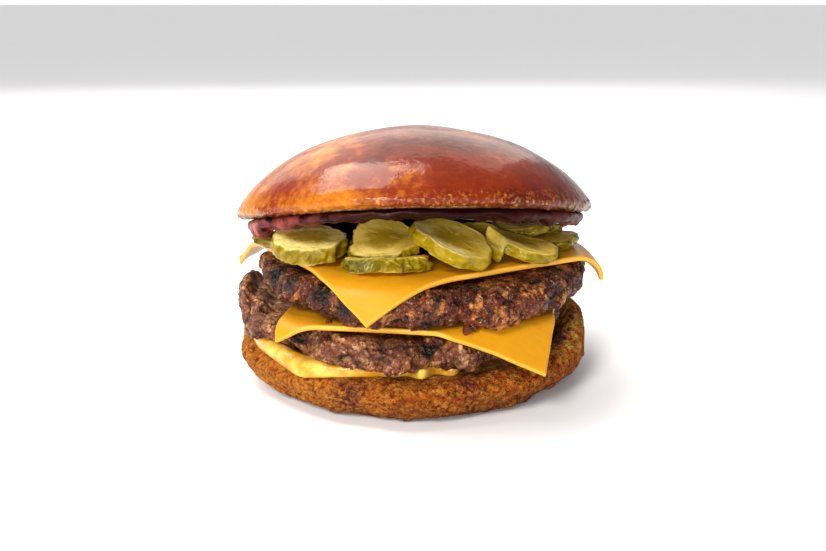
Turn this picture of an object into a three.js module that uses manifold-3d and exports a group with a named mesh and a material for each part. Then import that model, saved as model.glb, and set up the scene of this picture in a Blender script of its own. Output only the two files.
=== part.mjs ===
// A double cheeseburger: two beef patties, two slices of processed cheese, yellow and red sauce and
// sliced pickles in a round brioche bun. Millimetres, +Z up, the diner looks along +Y, and the origin
// is the middle of the flat foot of the bottom bun.
import * as THREE from "three";
import { mergeVertices } from "three/addons/utils/BufferGeometryUtils.js";
import Module from "manifold-3d";

// Driving dimensions
const BUN_RADIUS = 56;
const FOOT_RADIUS = 46.4;
const BOTTOM_BUN_WELL = 11.6; // height of the cut face in the middle, where the filling presses it down
const CHEESE_THICKNESS = 2.4;
const GAP = 0.4; // air between two layers that touch
const POOL_GAP = 0.6; // air under and over the yellow sauce, whose faces meet curved ones
const POOL_THICKNESS = 1.3;
const LID_HEIGHT = 49.4; // height of the top bun's cut face, over the middle of the foot
const LID_SHIFT = 0.3; // how far it sits to the right
const LID_TILT = 11.3; // degrees that the front of the top bun is propped up by the pickles
const LID_ROLL = 1.4; // degrees that its right side is raised
const LID_BEND = 0.0009; // curve of its cut face from front to back, per millimetre

const RIGHT = 0;
const FRONT = -90;
const LEFT = 180;
const GOLDEN_ANGLE = 2.39996;

const radians = (degrees) => (degrees * Math.PI) / 180;
const mix = (a, b, t) => a + (b - a) * t;

function smooth(low, high, value) {
  const t = Math.min(1, Math.max(0, (value - low) / (high - low)));
  return t * t * (3 - 2 * t);
}

// How much a direction in radians faces a side in degrees: 1 when it does, 0 from a quarter turn away.
function facing(angle, side, sharpness = 2) {
  return Math.max(0, Math.cos(angle - radians(side))) ** sharpness;
}

// Relief made of a few waves, each [waves round the axis, slant up the side, height of the wave].
function relief(angle, height, waves, seed) {
  return waves.reduce(
    (sum, [count, slant, size], i) =>
      sum + size * Math.sin(count * angle + slant * height + seed * (i + 1) * GOLDEN_ANGLE),
    0,
  );
}

// A bump round the side, as high as size where the angle meets the side and gone a width away from it.
function bump(angle, side, size, width) {
  const away = Math.atan2(Math.sin(angle - radians(side)), Math.cos(angle - radians(side)));
  return size * Math.exp(-((away / radians(width)) ** 2));
}

// A closed body turned from a profile of [radius, height] points, each of its vertices then moved.
function turned(profile, segments, move) {
  const geometry = new THREE.LatheGeometry(
    profile.map(([r, z]) => new THREE.Vector2(r, z)),
    segments,
  );
  geometry.rotateX(Math.PI / 2);
  geometry.deleteAttribute("normal");
  geometry.deleteAttribute("uv");
  return moved(mergeVertices(geometry, 1e-4), move);
}

function moved(geometry, move) {
  const position = geometry.getAttribute("position");
  const point = new THREE.Vector3();
  for (let i = 0; i < position.count; i += 1) {
    point.fromBufferAttribute(position, i);
    const { x, y, z } = move(point);
    position.setXYZ(i, x, y, z);
  }
  geometry.computeVertexNormals();
  return geometry;
}

// Colour and finish of each food
const finish = (color, roughness) => new THREE.MeshStandardMaterial({ color, roughness, metalness: 0 });
const CRUST_GLAZED = finish(0xb9591b, 0.25);
const CRUST_TOASTED = finish(0xa8682c, 0.8);
const BEEF_BROWNED = finish(0x6b4030, 0.5);
const CHEESE_YELLOW = finish(0xf2b01e, 0.35);
const PICKLE_GREEN = finish(0xa79a1c, 0.3);
const SAUCE_YELLOW = finish(0xf0cb3a, 0.3);
const SAUCE_RED = finish(0x7a1512, 0.2);

// Bottom bun: its cut face is pressed down by the filling, curls up at the rim, most of all on the
// right, and rounds over into the crust
const RIM_CURL = [
  { side: FRONT, lift: 1.6 },
  { side: RIGHT + 8, lift: 11 },
  { side: 90, lift: 3.4 },
  { side: LEFT, lift: 4.4 },
];
const CURL_FROM = 44;
const SHOULDER_FROM = 47;
const SHOULDER_DROP = 4.6;
const BOTTOM_BUN_WIDTH = 0.975; // how wide the crust is beside how deep it is, front to back

function bottomBunCut(x, y) {
  const angle = Math.atan2(y, x);
  const radius = Math.hypot(x / BOTTOM_BUN_WIDTH, y);
  const lift = RIM_CURL.reduce((sum, rim) => sum + rim.lift * facing(angle, rim.side, 2.6), 0);
  const shoulder = Math.max(0, (radius - SHOULDER_FROM) / (BUN_RADIUS - SHOULDER_FROM));
  return (
    BOTTOM_BUN_WELL + lift * smooth(CURL_FROM, BUN_RADIUS - 2, radius) - SHOULDER_DROP * shoulder ** 2
  );
}

const BOTTOM_BUN_WAVES = [
  [2, 0.1, 0.5],
  [5, 0.2, 0.35],
  [11, 0.5, 0.3],
  [17, 0.9, 0.25],
];
const CRUST_TOP = 7.5; // the crust is turned up to this height; what is above it reaches the cut face
const CUT = CRUST_TOP + 1;

function bottomBun() {
  const profile = [
    [0, 0],
    [24, 0],
    [FOOT_RADIUS, 0],
    [50.2, 1.5],
    [53, 4.2],
    [BUN_RADIUS - 0.6, CRUST_TOP],
    [BUN_RADIUS, CUT],
    [54.8, CUT],
    [53, CUT],
    [50.5, CUT],
    [47.5, CUT],
    [44, CUT],
    [30, CUT],
    [15, CUT],
    [0, CUT],
  ];
  return turned(profile, 56, ({ x, y, z }) => {
    const angle = Math.atan2(y, x);
    const side = smooth(0, 5, z) * smooth(46, 54, Math.hypot(x, y));
    const grow = 1 + (side * relief(angle, z, BOTTOM_BUN_WAVES, 3)) / BUN_RADIUS;
    const at = { x: x * grow * BOTTOM_BUN_WIDTH, y: y * grow };
    return { ...at, z: z < CUT ? z : bottomBunCut(at.x, at.y) };
  });
}

// Yellow sauce: a thin pool on the bottom bun that laps over its shoulder at the left and the front
const POOL_WAVES = [
  [3, 0, 0.9],
  [7, 0, 0.6],
  [12, 0, 0.4],
];
const POOL_RADIUS = 48;
const POOL_LAPS = [
  { at: -150, size: 4.6, width: 34 },
  { at: -115, size: 2.5, width: 14 },
];

function yellowSauce() {
  const profile = [
    [0, 0],
    [0.3, 0],
    [0.6, 0],
    [0.8, 0],
    [0.9, 0],
    [0.97, 0.05],
    [1, 0.5],
    [0.97, 0.95],
    [0.9, 1],
    [0.8, 1],
    [0.6, 1],
    [0.3, 1],
    [0, 1],
  ];
  return turned(profile, 48, ({ x, y, z }) => {
    const angle = Math.atan2(y, x);
    const lap = POOL_LAPS.reduce((sum, spot) => sum + bump(angle, spot.at, spot.size, spot.width), 0);
    const shy = 4.5 * facing(angle, RIGHT - 30, 1.2);
    const reach = POOL_RADIUS + lap - shy + relief(angle, 0, POOL_WAVES, 5);
    const at = { x: x * reach, y: y * reach };
    return { ...at, z: bottomBunCut(at.x, at.y) + POOL_GAP + z * POOL_THICKNESS };
  });
}

// Patties: each is turned as a disc with a rounded side, one unit in radius and from -1 to 1 high, then
// given its outline, its lumps and the height of its faces
const PATTY_EDGE = 0.13; // share of the radius that rounds over
const PATTY_SIDE_STEPS = 7;

function pattyProfile() {
  const side = Array.from({ length: PATTY_SIDE_STEPS + 1 }, (_, i) => {
    const turn = (Math.PI * i) / PATTY_SIDE_STEPS;
    return [1 - PATTY_EDGE + PATTY_EDGE * Math.sin(turn) ** 0.8, -Math.cos(turn)];
  });
  return [[0, -1], [0.45, -1], [0.76, -1], ...side, [0.76, 1], [0.45, 1], [0, 1]];
}

// The lumps of coarse mince round the side, and the clefts between them
const MINCE_WAVES = [
  [3, 0.3, 0.5],
  [5, 0.9, 0.45],
  [9, -0.8, 0.5],
  [14, 1.4, 0.45],
  [19, -1.1, 0.4],
];

// Lobes stand out from the side: share is how much of a lobe is left at the top of the patty, and sag
// how far its lower edge hangs.
const LOWER_PATTY = {
  centre: [-4, -1],
  radius: 49.6,
  seed: 1.7,
  clefts: [
    { at: -79, depth: 3.4, width: 4 },
    { at: -52, depth: 2, width: 8 },
    { at: -122, depth: 1.4, width: 4 },
    { at: 75, depth: 2.5, width: 5 },
    { at: 20, depth: 2, width: 5 },
  ],
  lobes: [
    { at: -91, out: 4.6, width: 6, share: 0, sag: 0.3 },
    { at: -66, out: 4, width: 6, share: 0.1, sag: 0.3 },
    { at: -105, out: 1.4, width: 9, share: 0.6, sag: 0 },
    { at: -172, out: 1, width: 22, share: 1, sag: 0 },
    { at: -135, out: -2.6, width: 14, share: 1, sag: -2.4 },
  ],
  bottom: (x, y) => bottomBunCut(x, y) + POOL_THICKNESS + 2 * POOL_GAP,
  top: (x, y) =>
    23.7 + (3.4 * smooth(43, 48, -x) + 5 * smooth(49, 52.5, -x)) * smooth(36, 12, Math.abs(y + 7)),
};

const UPPER_PATTY = {
  centre: [3, 0],
  radius: 50.8,
  seed: 4.1,
  clefts: [
    { at: -76, depth: 3.6, width: 4 },
    { at: -98, depth: 1.2, width: 4 },
    { at: -133, depth: 1.8, width: 4 },
    { at: -30, depth: 1.2, width: 5 },
    { at: 40, depth: 2.6, width: 5 },
    { at: 100, depth: 2.8, width: 4 },
    { at: 150, depth: 2, width: 5 },
  ],
  lobes: [
    { at: -90, out: 1.2, width: 8, share: 0.3, sag: 0.6 },
    { at: -63, out: 1.4, width: 9, share: 0.4, sag: 1.6 },
    { at: -112, out: 1, width: 8, share: 0.5, sag: 0.4 },
  ],
  bottom: (x, y) => 27 + 1.8 * smooth(10, 48, -x) * smooth(-60, 0, -y),
  top: (x, y) => 38.4 - 0.2 * smooth(30, 52, x) - 1.4 * smooth(15, 45, y) + 0.4 * smooth(20, 50, -x),
};

function patty({ centre, radius, seed, clefts, lobes, bottom, top }) {
  return turned(pattyProfile(), 72, ({ x, y, z }) => {
    const angle = Math.atan2(y, x);
    const share = Math.hypot(x, y);
    const outer = smooth(0.7, 0.95, share);
    const height = (z + 1) / 2;
    const lumps = relief(angle, 2 * z, MINCE_WAVES, seed);
    const cuts = clefts.reduce(
      (sum, { at: side, depth, width }) => sum + bump(angle, side, depth, width),
      0,
    );
    const lobe = lobes.reduce(
      (sum, { at: side, out, width, share: kept }) =>
        sum + mix(1, kept, height) * bump(angle, side, out, width),
      0,
    );
    const sag = lobes.reduce(
      (sum, { at: side, width, sag: fall }) => sum + bump(angle, side, fall, width),
      0,
    );
    const reach = radius + (lumps + lobe - cuts) * outer;
    const at = { x: centre[0] + x * reach, y: centre[1] + y * reach };
    const low = bottom(at.x, at.y) - sag * smooth(0.9, 0.97, share);
    return { ...at, z: mix(low, top(at.x, at.y), height) };
  });
}

// Cheese slices: square, laid flat on a patty, each corner folded down over the patty's edge. A fold
// starts at a distance from the patty's middle, turns at a radius and ends at an angle in degrees. Its
// line is straight where curve is 0 and follows the patty's edge where it is 1.
const CHEESE_STEPS = 18;

const LOWER_CHEESE = {
  side: 78.5,
  centre: [5.3, -7.8],
  turn: -9,
  on: LOWER_PATTY,
  folds: [
    { side: -133.8, from: 46, radius: 4.3, angle: 57.6, curve: 0.3 },
    { side: -68, from: 46.8, radius: 3.4, angle: 41.2, curve: 0.3 },
    { side: 30.9, from: 50, radius: 8, angle: 22, curve: 0.5 },
    { side: 123.5, from: 47.8, radius: 6, angle: 50, curve: 0.5 },
  ],
};

const UPPER_CHEESE = {
  side: 87,
  centre: [0.5, 0.5],
  turn: 32.3,
  on: UPPER_PATTY,
  folds: [
    { side: -101.8, from: 44.9, radius: 10.4, angle: 47.7, curve: 1.3 },
    { side: -3.4, from: 46.4, radius: 7.6, angle: 80, curve: -0.4 },
    { side: 77, from: 47, radius: 7, angle: 56, curve: 0.5 },
    { side: 160.8, from: 45.4, radius: 10.5, angle: 35.4, curve: -0.4 },
  ],
};

function cheese({ side, centre, turn, on, folds }) {
  const slab = new THREE.BoxGeometry(
    side,
    side,
    CHEESE_THICKNESS,
    CHEESE_STEPS,
    CHEESE_STEPS,
    1,
  );
  slab.deleteAttribute("normal");
  slab.deleteAttribute("uv");
  slab.rotateZ(radians(turn));
  slab.translate(centre[0] - on.centre[0], centre[1] - on.centre[1], CHEESE_THICKNESS / 2);
  return moved(mergeVertices(slab, 1e-4), ({ x, y, z }) => {
    const at = { x: x + on.centre[0], y: y + on.centre[1], z: z + GAP };
    const start = { x: at.x, y: at.y };
    for (const fold of folds) {
      const out = { x: Math.cos(radians(fold.side)), y: Math.sin(radians(fold.side)) };
      const along = x * out.x + y * out.y;
      const across = y * out.x - x * out.y;
      const laid = along + (fold.curve * across ** 2) / (2 * on.radius);
      if (along < 0 || laid < fold.from) continue;
      const over = laid - fold.from;
      const bend = Math.min(radians(fold.angle), over / fold.radius);
      const hang = over - bend * fold.radius;
      const move =
        fold.radius * Math.sin(bend) + hang * Math.cos(bend) + z * Math.sin(bend) - over;
      at.x += move * out.x;
      at.y += move * out.y;
      at.z -= fold.radius * (1 - Math.cos(bend)) + hang * Math.sin(bend) + z * (1 - Math.cos(bend));
      start.x -= over * out.x;
      start.y -= over * out.y;
    }
    return { x: at.x, y: at.y, z: at.z + on.top(start.x, start.y) };
  });
}

// Pickle slices: rounds with a wavy skin, each leaning where it came to rest. lean is the side in
// degrees that the slice's face looks to, tilt how far it looks that way, and under names the slices
// that press into it.
const PICKLES = {
  pickle_left_end: { at: [-40.4, -3.4, 43.2], size: [10.2, 9.2], thickness: 2, tilt: 3, lean: 180 },
  pickle_left: { at: [-30, -25.8, 46.1], size: [11, 10.4], thickness: 4.8, tilt: 10, lean: -95 },
  pickle_middle: {
    at: [-8, -28.4, 47.2],
    size: [10.8, 11],
    thickness: 3.6,
    tilt: 18,
    lean: -96,
    under: ["pickle_face"],
  },
  pickle_middle_low: {
    at: [-7.6, -37.4, 43.9],
    size: [11.4, 9],
    thickness: 4,
    tilt: 2,
    lean: -90,
    under: ["pickle_middle"],
  },
  pickle_face: { at: [10.8, -33, 48], size: [12.4, 12], thickness: 3.8, tilt: 21.6, lean: -25 },
  pickle_behind: { at: [17.5, -15.4, 45.7], size: [9.6, 8.6], thickness: 2.8, tilt: 16, lean: -80 },
  pickle_right: {
    at: [31.2, -25.4, 46],
    size: [11.4, 8.4],
    thickness: 3,
    tilt: 18,
    lean: -14,
    under: ["pickle_face", "pickle_right_end"],
  },
  pickle_right_end: { at: [41, -5.4, 43.2], size: [10.8, 10.4], thickness: 3, tilt: 1, lean: 0 },
  pickle_right_top: { at: [35.4, -4.6, 46.5], size: [10.4, 9.8], thickness: 2.6, tilt: 2, lean: 80 },
};
const PICKLE_SKIN_WAVES = [
  [2, 0, 0.03],
  [5, 0, 0.025],
  [9, 0, 0.02],
];

function pickle({ at, size, thickness, tilt, lean }, seed, grown = 0) {
  const half = thickness / 2 + grown;
  const profile = [
    [0, -half],
    [0.55, -half],
    [0.93, -half],
    [1, -half * 0.35],
    [1, half * 0.35],
    [0.93, half],
    [0.55, half],
    [0, half],
  ];
  const geometry = turned(profile, 20, ({ x, y, z }) => {
    const grow = 1 + relief(Math.atan2(y, x), 0, PICKLE_SKIN_WAVES, seed);
    return { x: x * (size[0] + grown) * grow, y: y * (size[1] + grown) * grow, z };
  });
  const axis = new THREE.Vector3(-Math.sin(radians(lean)), Math.cos(radians(lean)), 0);
  geometry.applyQuaternion(new THREE.Quaternion().setFromAxisAngle(axis, radians(tilt)));
  return geometry.translate(...at);
}

const wasm = await Module();
wasm.setup();

function solid(geometry) {
  const mesh = new wasm.Mesh({
    numProp: 3,
    vertProperties: geometry.getAttribute("position").array,
    triVerts: new Uint32Array(geometry.index.array),
  });
  return new wasm.Manifold(mesh);
}

// The slice with the room that the ones pressing into it take up cut out of it.
function pressedPickle(name) {
  const seeds = Object.keys(PICKLES);
  const whole = pickle(PICKLES[name], seeds.indexOf(name));
  const under = PICKLES[name].under ?? [];
  if (under.length === 0) return whole;
  const rest = under.reduce(
    (body, other) => body.subtract(solid(pickle(PICKLES[other], seeds.indexOf(other), GAP))),
    solid(whole),
  );
  const { vertProperties, triVerts } = rest.getMesh();
  const geometry = new THREE.BufferGeometry();
  geometry.setAttribute("position", new THREE.BufferAttribute(vertProperties, 3));
  geometry.setIndex(new THREE.BufferAttribute(triVerts, 1));
  geometry.computeVertexNormals();
  return geometry;
}

// Top bun and the red sauce spread under it, in the lid's own frame: its cut face lies in z = 0
const lidBend = (y) => LID_BEND * y * y;

const TOP_BUN_WAVES = [
  [2, 0, 0.4],
  [3, 0.02, 0.4],
  [7, 0.05, 0.2],
];

function topBun() {
  const profile = [
    [0, 0],
    [26, 0],
    [44, 0],
    [50.5, 0],
    [53.4, 0.2],
    [54.9, 0.9],
    [55.2, 2.2],
    [53.8, 5],
    [51, 8.6],
    [46.6, 12.8],
    [40.6, 17.2],
    [34, 20.9],
    [26, 24],
    [17.6, 26.2],
    [9, 27.6],
    [0, 28.2],
  ];
  return turned(profile, 56, ({ x, y, z }) => {
    const angle = Math.atan2(y, x);
    const rim = smooth(20, 50, Math.hypot(x, y));
    const grow = 1 + (rim * relief(angle, z, TOP_BUN_WAVES, 2)) / BUN_RADIUS;
    return { x: x * grow, y: y * grow, z: z + lidBend(y) };
  });
}

// Red sauce: a thin spread with a thicker bead round it, where it is squeezed out
const SPREAD_RADIUS = 52.8;
const SPREAD_THIN = 0.8;
const SPREAD_WAVES = [
  [3, 0, 0.6],
  [7, 0, 0.5],
  [12, 0, 0.4],
];
const BEAD = { thick: 2.6, from: 0.86, to: 0.91, thinning: 0.9 }; // thinning: towards the back
const BEAD_SWELLS = [
  { at: -166, size: 1.2, width: 24 },
  { at: -14, size: 0.6, width: 20 },
];

function redSauce() {
  const profile = [
    [0, -1],
    [0.5, -1],
    [0.8, -1],
    [BEAD.from, -1],
    [BEAD.to, -1],
    [0.96, -0.95],
    [1, -0.55],
    [0.97, -0.1],
    [BEAD.from, 0],
    [0.5, 0],
    [0, 0],
  ];
  return turned(profile, 48, ({ x, y, z }) => {
    const angle = Math.atan2(y, x);
    const reach = SPREAD_RADIUS + relief(angle, 0, SPREAD_WAVES, 8);
    const at = { x: x * reach, y: y * reach };
    const edge = smooth(BEAD.from, BEAD.to, Math.hypot(x, y));
    const bead = edge * (1 - BEAD.thinning * facing(angle, 90, 1));
    const swell = BEAD_SWELLS.reduce((sum, spot) => sum + bump(angle, spot.at, spot.size, spot.width), 0);
    const thickness = SPREAD_THIN + (BEAD.thick + swell - SPREAD_THIN) * bead;
    return { ...at, z: lidBend(at.y) - GAP + z * thickness };
  });
}

// Assembly
function named(name, geometry, material) {
  const mesh = new THREE.Mesh(geometry, material);
  mesh.name = name;
  return mesh;
}

const burger = new THREE.Group();
burger.add(named("bottom_bun", bottomBun(), CRUST_TOASTED));
burger.add(named("yellow_sauce", yellowSauce(), SAUCE_YELLOW));
burger.add(named("lower_patty", patty(LOWER_PATTY), BEEF_BROWNED));
burger.add(named("lower_cheese", cheese(LOWER_CHEESE), CHEESE_YELLOW));
burger.add(named("upper_patty", patty(UPPER_PATTY), BEEF_BROWNED));
burger.add(named("upper_cheese", cheese(UPPER_CHEESE), CHEESE_YELLOW));
for (const name of Object.keys(PICKLES)) burger.add(named(name, pressedPickle(name), PICKLE_GREEN));

const lid = new THREE.Group();
lid.position.set(LID_SHIFT, 0, LID_HEIGHT);
lid.rotation.set(radians(-LID_TILT), radians(-LID_ROLL), 0);
lid.add(named("red_sauce", redSauce(), SAUCE_RED));
lid.add(named("top_bun", topBun(), CRUST_GLAZED));
burger.add(lid);

export default burger;
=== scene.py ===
"""Looks of a double cheeseburger in a glazed brioche bun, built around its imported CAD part.

Each food is built here in millimetres, from the sizes of its solid, with the relief that the real
food has: lumps and crevices of coarse mince, open crumb, dimpled glaze, seeds and warty skin. A mesh
is turned to metres when it is made. +Z is up and the diner looks along +Y.
"""
import logging
import math
from collections.abc import Callable, Iterable, Sequence
from dataclasses import dataclass, field
from enum import Enum, IntEnum

import bpy
import numpy as np
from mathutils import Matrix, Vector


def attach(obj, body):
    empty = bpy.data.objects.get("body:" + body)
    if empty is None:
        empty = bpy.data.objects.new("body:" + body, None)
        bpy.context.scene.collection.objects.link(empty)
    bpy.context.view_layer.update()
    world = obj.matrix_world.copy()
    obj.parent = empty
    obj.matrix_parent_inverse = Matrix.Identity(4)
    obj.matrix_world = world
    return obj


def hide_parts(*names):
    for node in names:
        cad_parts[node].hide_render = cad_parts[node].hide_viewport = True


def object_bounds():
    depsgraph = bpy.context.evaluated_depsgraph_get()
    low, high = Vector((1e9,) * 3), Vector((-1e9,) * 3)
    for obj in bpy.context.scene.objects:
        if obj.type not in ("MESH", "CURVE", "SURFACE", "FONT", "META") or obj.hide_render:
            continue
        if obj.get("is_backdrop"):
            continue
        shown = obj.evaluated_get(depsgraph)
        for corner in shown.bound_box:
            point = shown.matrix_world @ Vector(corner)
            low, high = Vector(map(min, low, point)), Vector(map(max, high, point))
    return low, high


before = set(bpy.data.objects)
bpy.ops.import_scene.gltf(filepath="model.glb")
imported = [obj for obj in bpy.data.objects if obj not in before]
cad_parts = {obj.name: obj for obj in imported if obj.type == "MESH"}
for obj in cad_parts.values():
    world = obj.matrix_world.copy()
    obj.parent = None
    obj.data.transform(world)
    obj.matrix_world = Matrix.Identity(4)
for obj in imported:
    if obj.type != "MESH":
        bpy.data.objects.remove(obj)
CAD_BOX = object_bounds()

LOG = logging.getLogger("cheeseburger")
Array = np.ndarray
Waves = tuple[tuple[float, float, float], ...]
MM = 0.001
BODY = "root"
# Turn in radians from one wave of a relief to the next, so that no two of them stay in step.
GOLDEN_ANGLE = 2.39996


class Side(IntEnum):
    """Where a place is round the burger, in degrees from the right-hand side."""

    RIGHT = 0
    BACK = 90
    LEFT = 180
    FRONT = -90


def smooth(low: float, high: float, value: Array) -> Array:
    """Eases from 0 at low to 1 at high.

    Args:
        low: value at which the result is 0.
        high: value at which the result is 1; it may be less than low.
        value: what is eased.

    Returns:
        The eased share, of the same shape as value.
    """
    t = np.clip((np.asarray(value, float) - low) / (high - low), 0, 1)
    return t * t * (3 - 2 * t)


def mix(a: Array, b: Array, share: Array) -> Array:
    """The value that lies a share of the way from a to b."""
    return a + (b - a) * share


def facing(angle: Array, side: float, sharpness: float = 2.0) -> Array:
    """How much an angle in radians faces a side in degrees: 1 when it does, 0 a quarter turn away."""
    return np.maximum(0, np.cos(angle - math.radians(side))) ** sharpness


def bump(angle: Array, side: float, size: float, width: float) -> Array:
    """A bump on the way round.

    Args:
        angle: angle round the axis, in radians.
        side: where the bump is, in degrees.
        size: its height.
        width: how far from it it is mostly gone, in degrees.

    Returns:
        Its height at each angle.
    """
    away = angle - math.radians(side)
    away = np.arctan2(np.sin(away), np.cos(away))
    return size * np.exp(-((away / math.radians(width)) ** 2))


def blot(angle: Array, height: Array, radius: float, spot: tuple[float, float, float]) -> Array:
    """A round spot on the side of an upright body.

    Args:
        angle: angle round the body, in radians.
        height: height up its side.
        radius: radius of the body.
        spot: side in degrees, height and size of the spot.

    Returns:
        1 in the middle of the spot, falling to 0 away from it.
    """
    at, level, size = spot
    return bump(angle, at, 1, math.degrees(size / radius)) * np.exp(-(((height - level) / size) ** 2))


def relief(angle: Array, height: Array, waves: Waves, seed: float) -> Array:
    """Waves round an upright body.

    Args:
        angle: angle round the axis, in radians.
        height: height up the side.
        waves: number round the axis, slant up the side and height of each wave.
        seed: shifts the waves.

    Returns:
        The sum of the waves.
    """
    total = np.zeros(np.broadcast(angle, height).shape)
    for i, (count, slant, size) in enumerate(waves):
        total = total + size * np.sin(count * angle + slant * height + seed * (i + 1) * GOLDEN_ANGLE)
    return total


# Tables of directions and spots that the noise draws from, and the odd numbers and shifts that mix
# a cell's place into its row.
TABLE = 1024
MIXERS = tuple(np.uint32(number) for number in (374761393, 668265263, 2246822519, 3266489917))
SHIFTS = tuple(np.uint32(bits) for bits in (15, 13, 7))
WORD = 0xFFFFFFFF
_RNG = np.random.default_rng(20)
ARROWS = _RNG.normal(size=(TABLE, 3))
ARROWS /= np.linalg.norm(ARROWS, axis=1, keepdims=True)
SPOTS = _RNG.random((TABLE, 4))


@dataclass(frozen=True)
class Grain:
    """Seeded noise in space, over points in millimetres.

    Points moved by a round number read another part of it, so that two patterns have nothing in common.
    """

    seed: int

    def _pick(self, cell: Array) -> Array:
        """One row of the tables for each cell of the lattice.

        Args:
            cell: the cell's place on the lattice, with x, y and z last.

        Returns:
            Number of the row.
        """
        x, y, z = (cell[..., i].astype(np.int64).astype(np.uint32) for i in range(3))
        mixed = x * MIXERS[0] + y * MIXERS[1] + z * MIXERS[2]
        mixed = mixed + np.uint32((self.seed * int(MIXERS[3])) & WORD)
        mixed = (mixed ^ (mixed >> SHIFTS[0])) * MIXERS[2]
        mixed = (mixed ^ (mixed >> SHIFTS[1])) * MIXERS[3]
        return (mixed >> SHIFTS[2]) & np.uint32(TABLE - 1)

    def _wave(self, points: Array) -> Array:
        """Gradient noise of one cell size.

        Args:
            points: places in cells, with x, y and z last.

        Returns:
            The noise at each place.
        """
        base = np.floor(points)
        part = points - base
        ease = part**3 * (part * (part * 6 - 15) + 10)
        total = np.zeros(points.shape[:-1])
        for corner in np.ndindex(2, 2, 2):
            arrow = ARROWS[self._pick(base + corner)]
            weight = np.prod(np.where(corner, ease, 1 - ease), axis=-1)
            total += weight * ((part - corner) * arrow).sum(-1)
        return total * 1.7

    def waves(self, points: Array, size: float, octaves: int = 1, keep: float = 0.5) -> Array:
        """Smooth noise, mostly from -1 to 1.

        Args:
            points: places, with x, y and z last.
            size: length of the largest wave.
            octaves: how many sizes are added, each half as long as the one before.
            keep: how high each size is beside the one before.

        Returns:
            The noise at each place.
        """
        total = np.zeros(points.shape[:-1])
        for i in range(octaves):
            total += keep**i * self._wave(points / (size * 0.5**i) + 17.3 * i)
        return total

    def shifted(self, points: Array, size: float, reach: float) -> Array:
        """The places moved about by smooth noise of that size, up to a reach each way."""
        moves = [Grain(self.seed + 50 + i)._wave(points / size) for i in range(3)]
        return points + reach * np.stack(moves, axis=-1)

    def cells(self, points: Array, size: float, jitter: float = 0.9) -> tuple[Array, Array, Array]:
        """Distances to scattered spots, one in each cell.

        Args:
            points: places, with x, y and z last.
            size: width of a cell.
            jitter: how far a spot strays from the middle of its cell.

        Returns:
            Distance to the nearest spot, distance to the next one, both in cells, and a tone from
            0 to 1 that belongs to the nearest spot.
        """
        scaled = points / size
        base = np.floor(scaled)
        near = np.full(points.shape[:-1], 9.0)
        second = near.copy()
        tone = np.zeros_like(near)
        for step in np.ndindex(3, 3, 3):
            cell = base + np.array(step) - 1
            row = SPOTS[self._pick(cell)]
            spot = cell + 0.5 + jitter * (row[..., :3] - 0.5)
            away = np.linalg.norm(scaled - spot, axis=-1)
            closer = away < near
            second = np.where(closer, near, np.minimum(second, away))
            tone = np.where(closer, row[..., 3], tone)
            near = np.where(closer, away, near)
        return near, second, tone


def curve_through(points: Sequence[tuple[float, float]], spacing: float) -> Array:
    """A smooth line through points.

    Args:
        points: the points that it passes.
        spacing: distance between the places that are returned.

    Returns:
        Places along the line, the points among them.
    """
    p = np.array(points, float)
    span = np.linalg.norm(np.diff(p, axis=0), axis=1)
    slope = np.diff(p, axis=0) / span[:, None]
    tangent = np.empty_like(p)
    tangent[0] = slope[0]
    tangent[-1] = slope[-1]
    before, after = span[:-1, None], span[1:, None]
    tangent[1:-1] = (slope[1:] * before + slope[:-1] * after) / (before + after)
    out = []
    for i, length in enumerate(span):
        steps = max(1, round(length / spacing))
        t = (np.arange(steps) / steps)[:, None]
        near, far = 2 * t**3 - 3 * t**2 + 1, 3 * t**2 - 2 * t**3
        leave, arrive = t**3 - 2 * t**2 + t, t**3 - t**2
        slopes = length * (leave * tangent[i] + arrive * tangent[i + 1])
        out.append(near * p[i] + far * p[i + 1] + slopes)
    return np.vstack([*out, p[-1:]])


def round_about(columns: int) -> Array:
    """Angles of that many columns round an axis, in radians."""
    return np.arange(columns) * 2 * math.pi / columns


def disc(share: Array, reach: Array, angle: Array) -> Array:
    """Flat rings at height 0, each at its share of the reach on every side."""
    radius = share[:, None] * reach
    return np.stack([radius * np.cos(angle), radius * np.sin(angle), 0 * radius], axis=-1)


def turned(profile: Array, columns: int) -> tuple[Array, Array]:
    """Turns a profile round the upright axis.

    Args:
        profile: radius and height of each ring, from the lower pole to the upper one.
        columns: number of places on a ring.

    Returns:
        The places, one row for each ring, and the angle of each column in radians.
    """
    angle = round_about(columns)
    radius = profile[:, :1]
    height = np.repeat(profile[:, 1:], columns, axis=1)
    return np.stack([radius * np.cos(angle), radius * np.sin(angle), height], axis=-1), angle


def outward(grid: Array) -> Array:
    """The direction out of a turned body.

    Args:
        grid: places, one row for each ring, from the lower pole to the upper one.

    Returns:
        A unit arrow at each place.
    """
    along = np.roll(grid, -1, axis=1) - np.roll(grid, 1, axis=1)
    normal = np.cross(along, np.gradient(grid, axis=0))
    normal /= np.maximum(np.linalg.norm(normal, axis=-1, keepdims=True), 1e-9)
    normal[0] = (0, 0, -1)
    normal[-1] = (0, 0, 1)
    return normal


def faces_of(numbers: Array) -> Array:
    """The four-sided faces between the places of a grid, given their numbers."""
    corners = [numbers[:-1, :-1], numbers[1:, :-1], numbers[1:, 1:], numbers[:-1, 1:]]
    return np.stack(corners, axis=-1).reshape(-1, 4)


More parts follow.
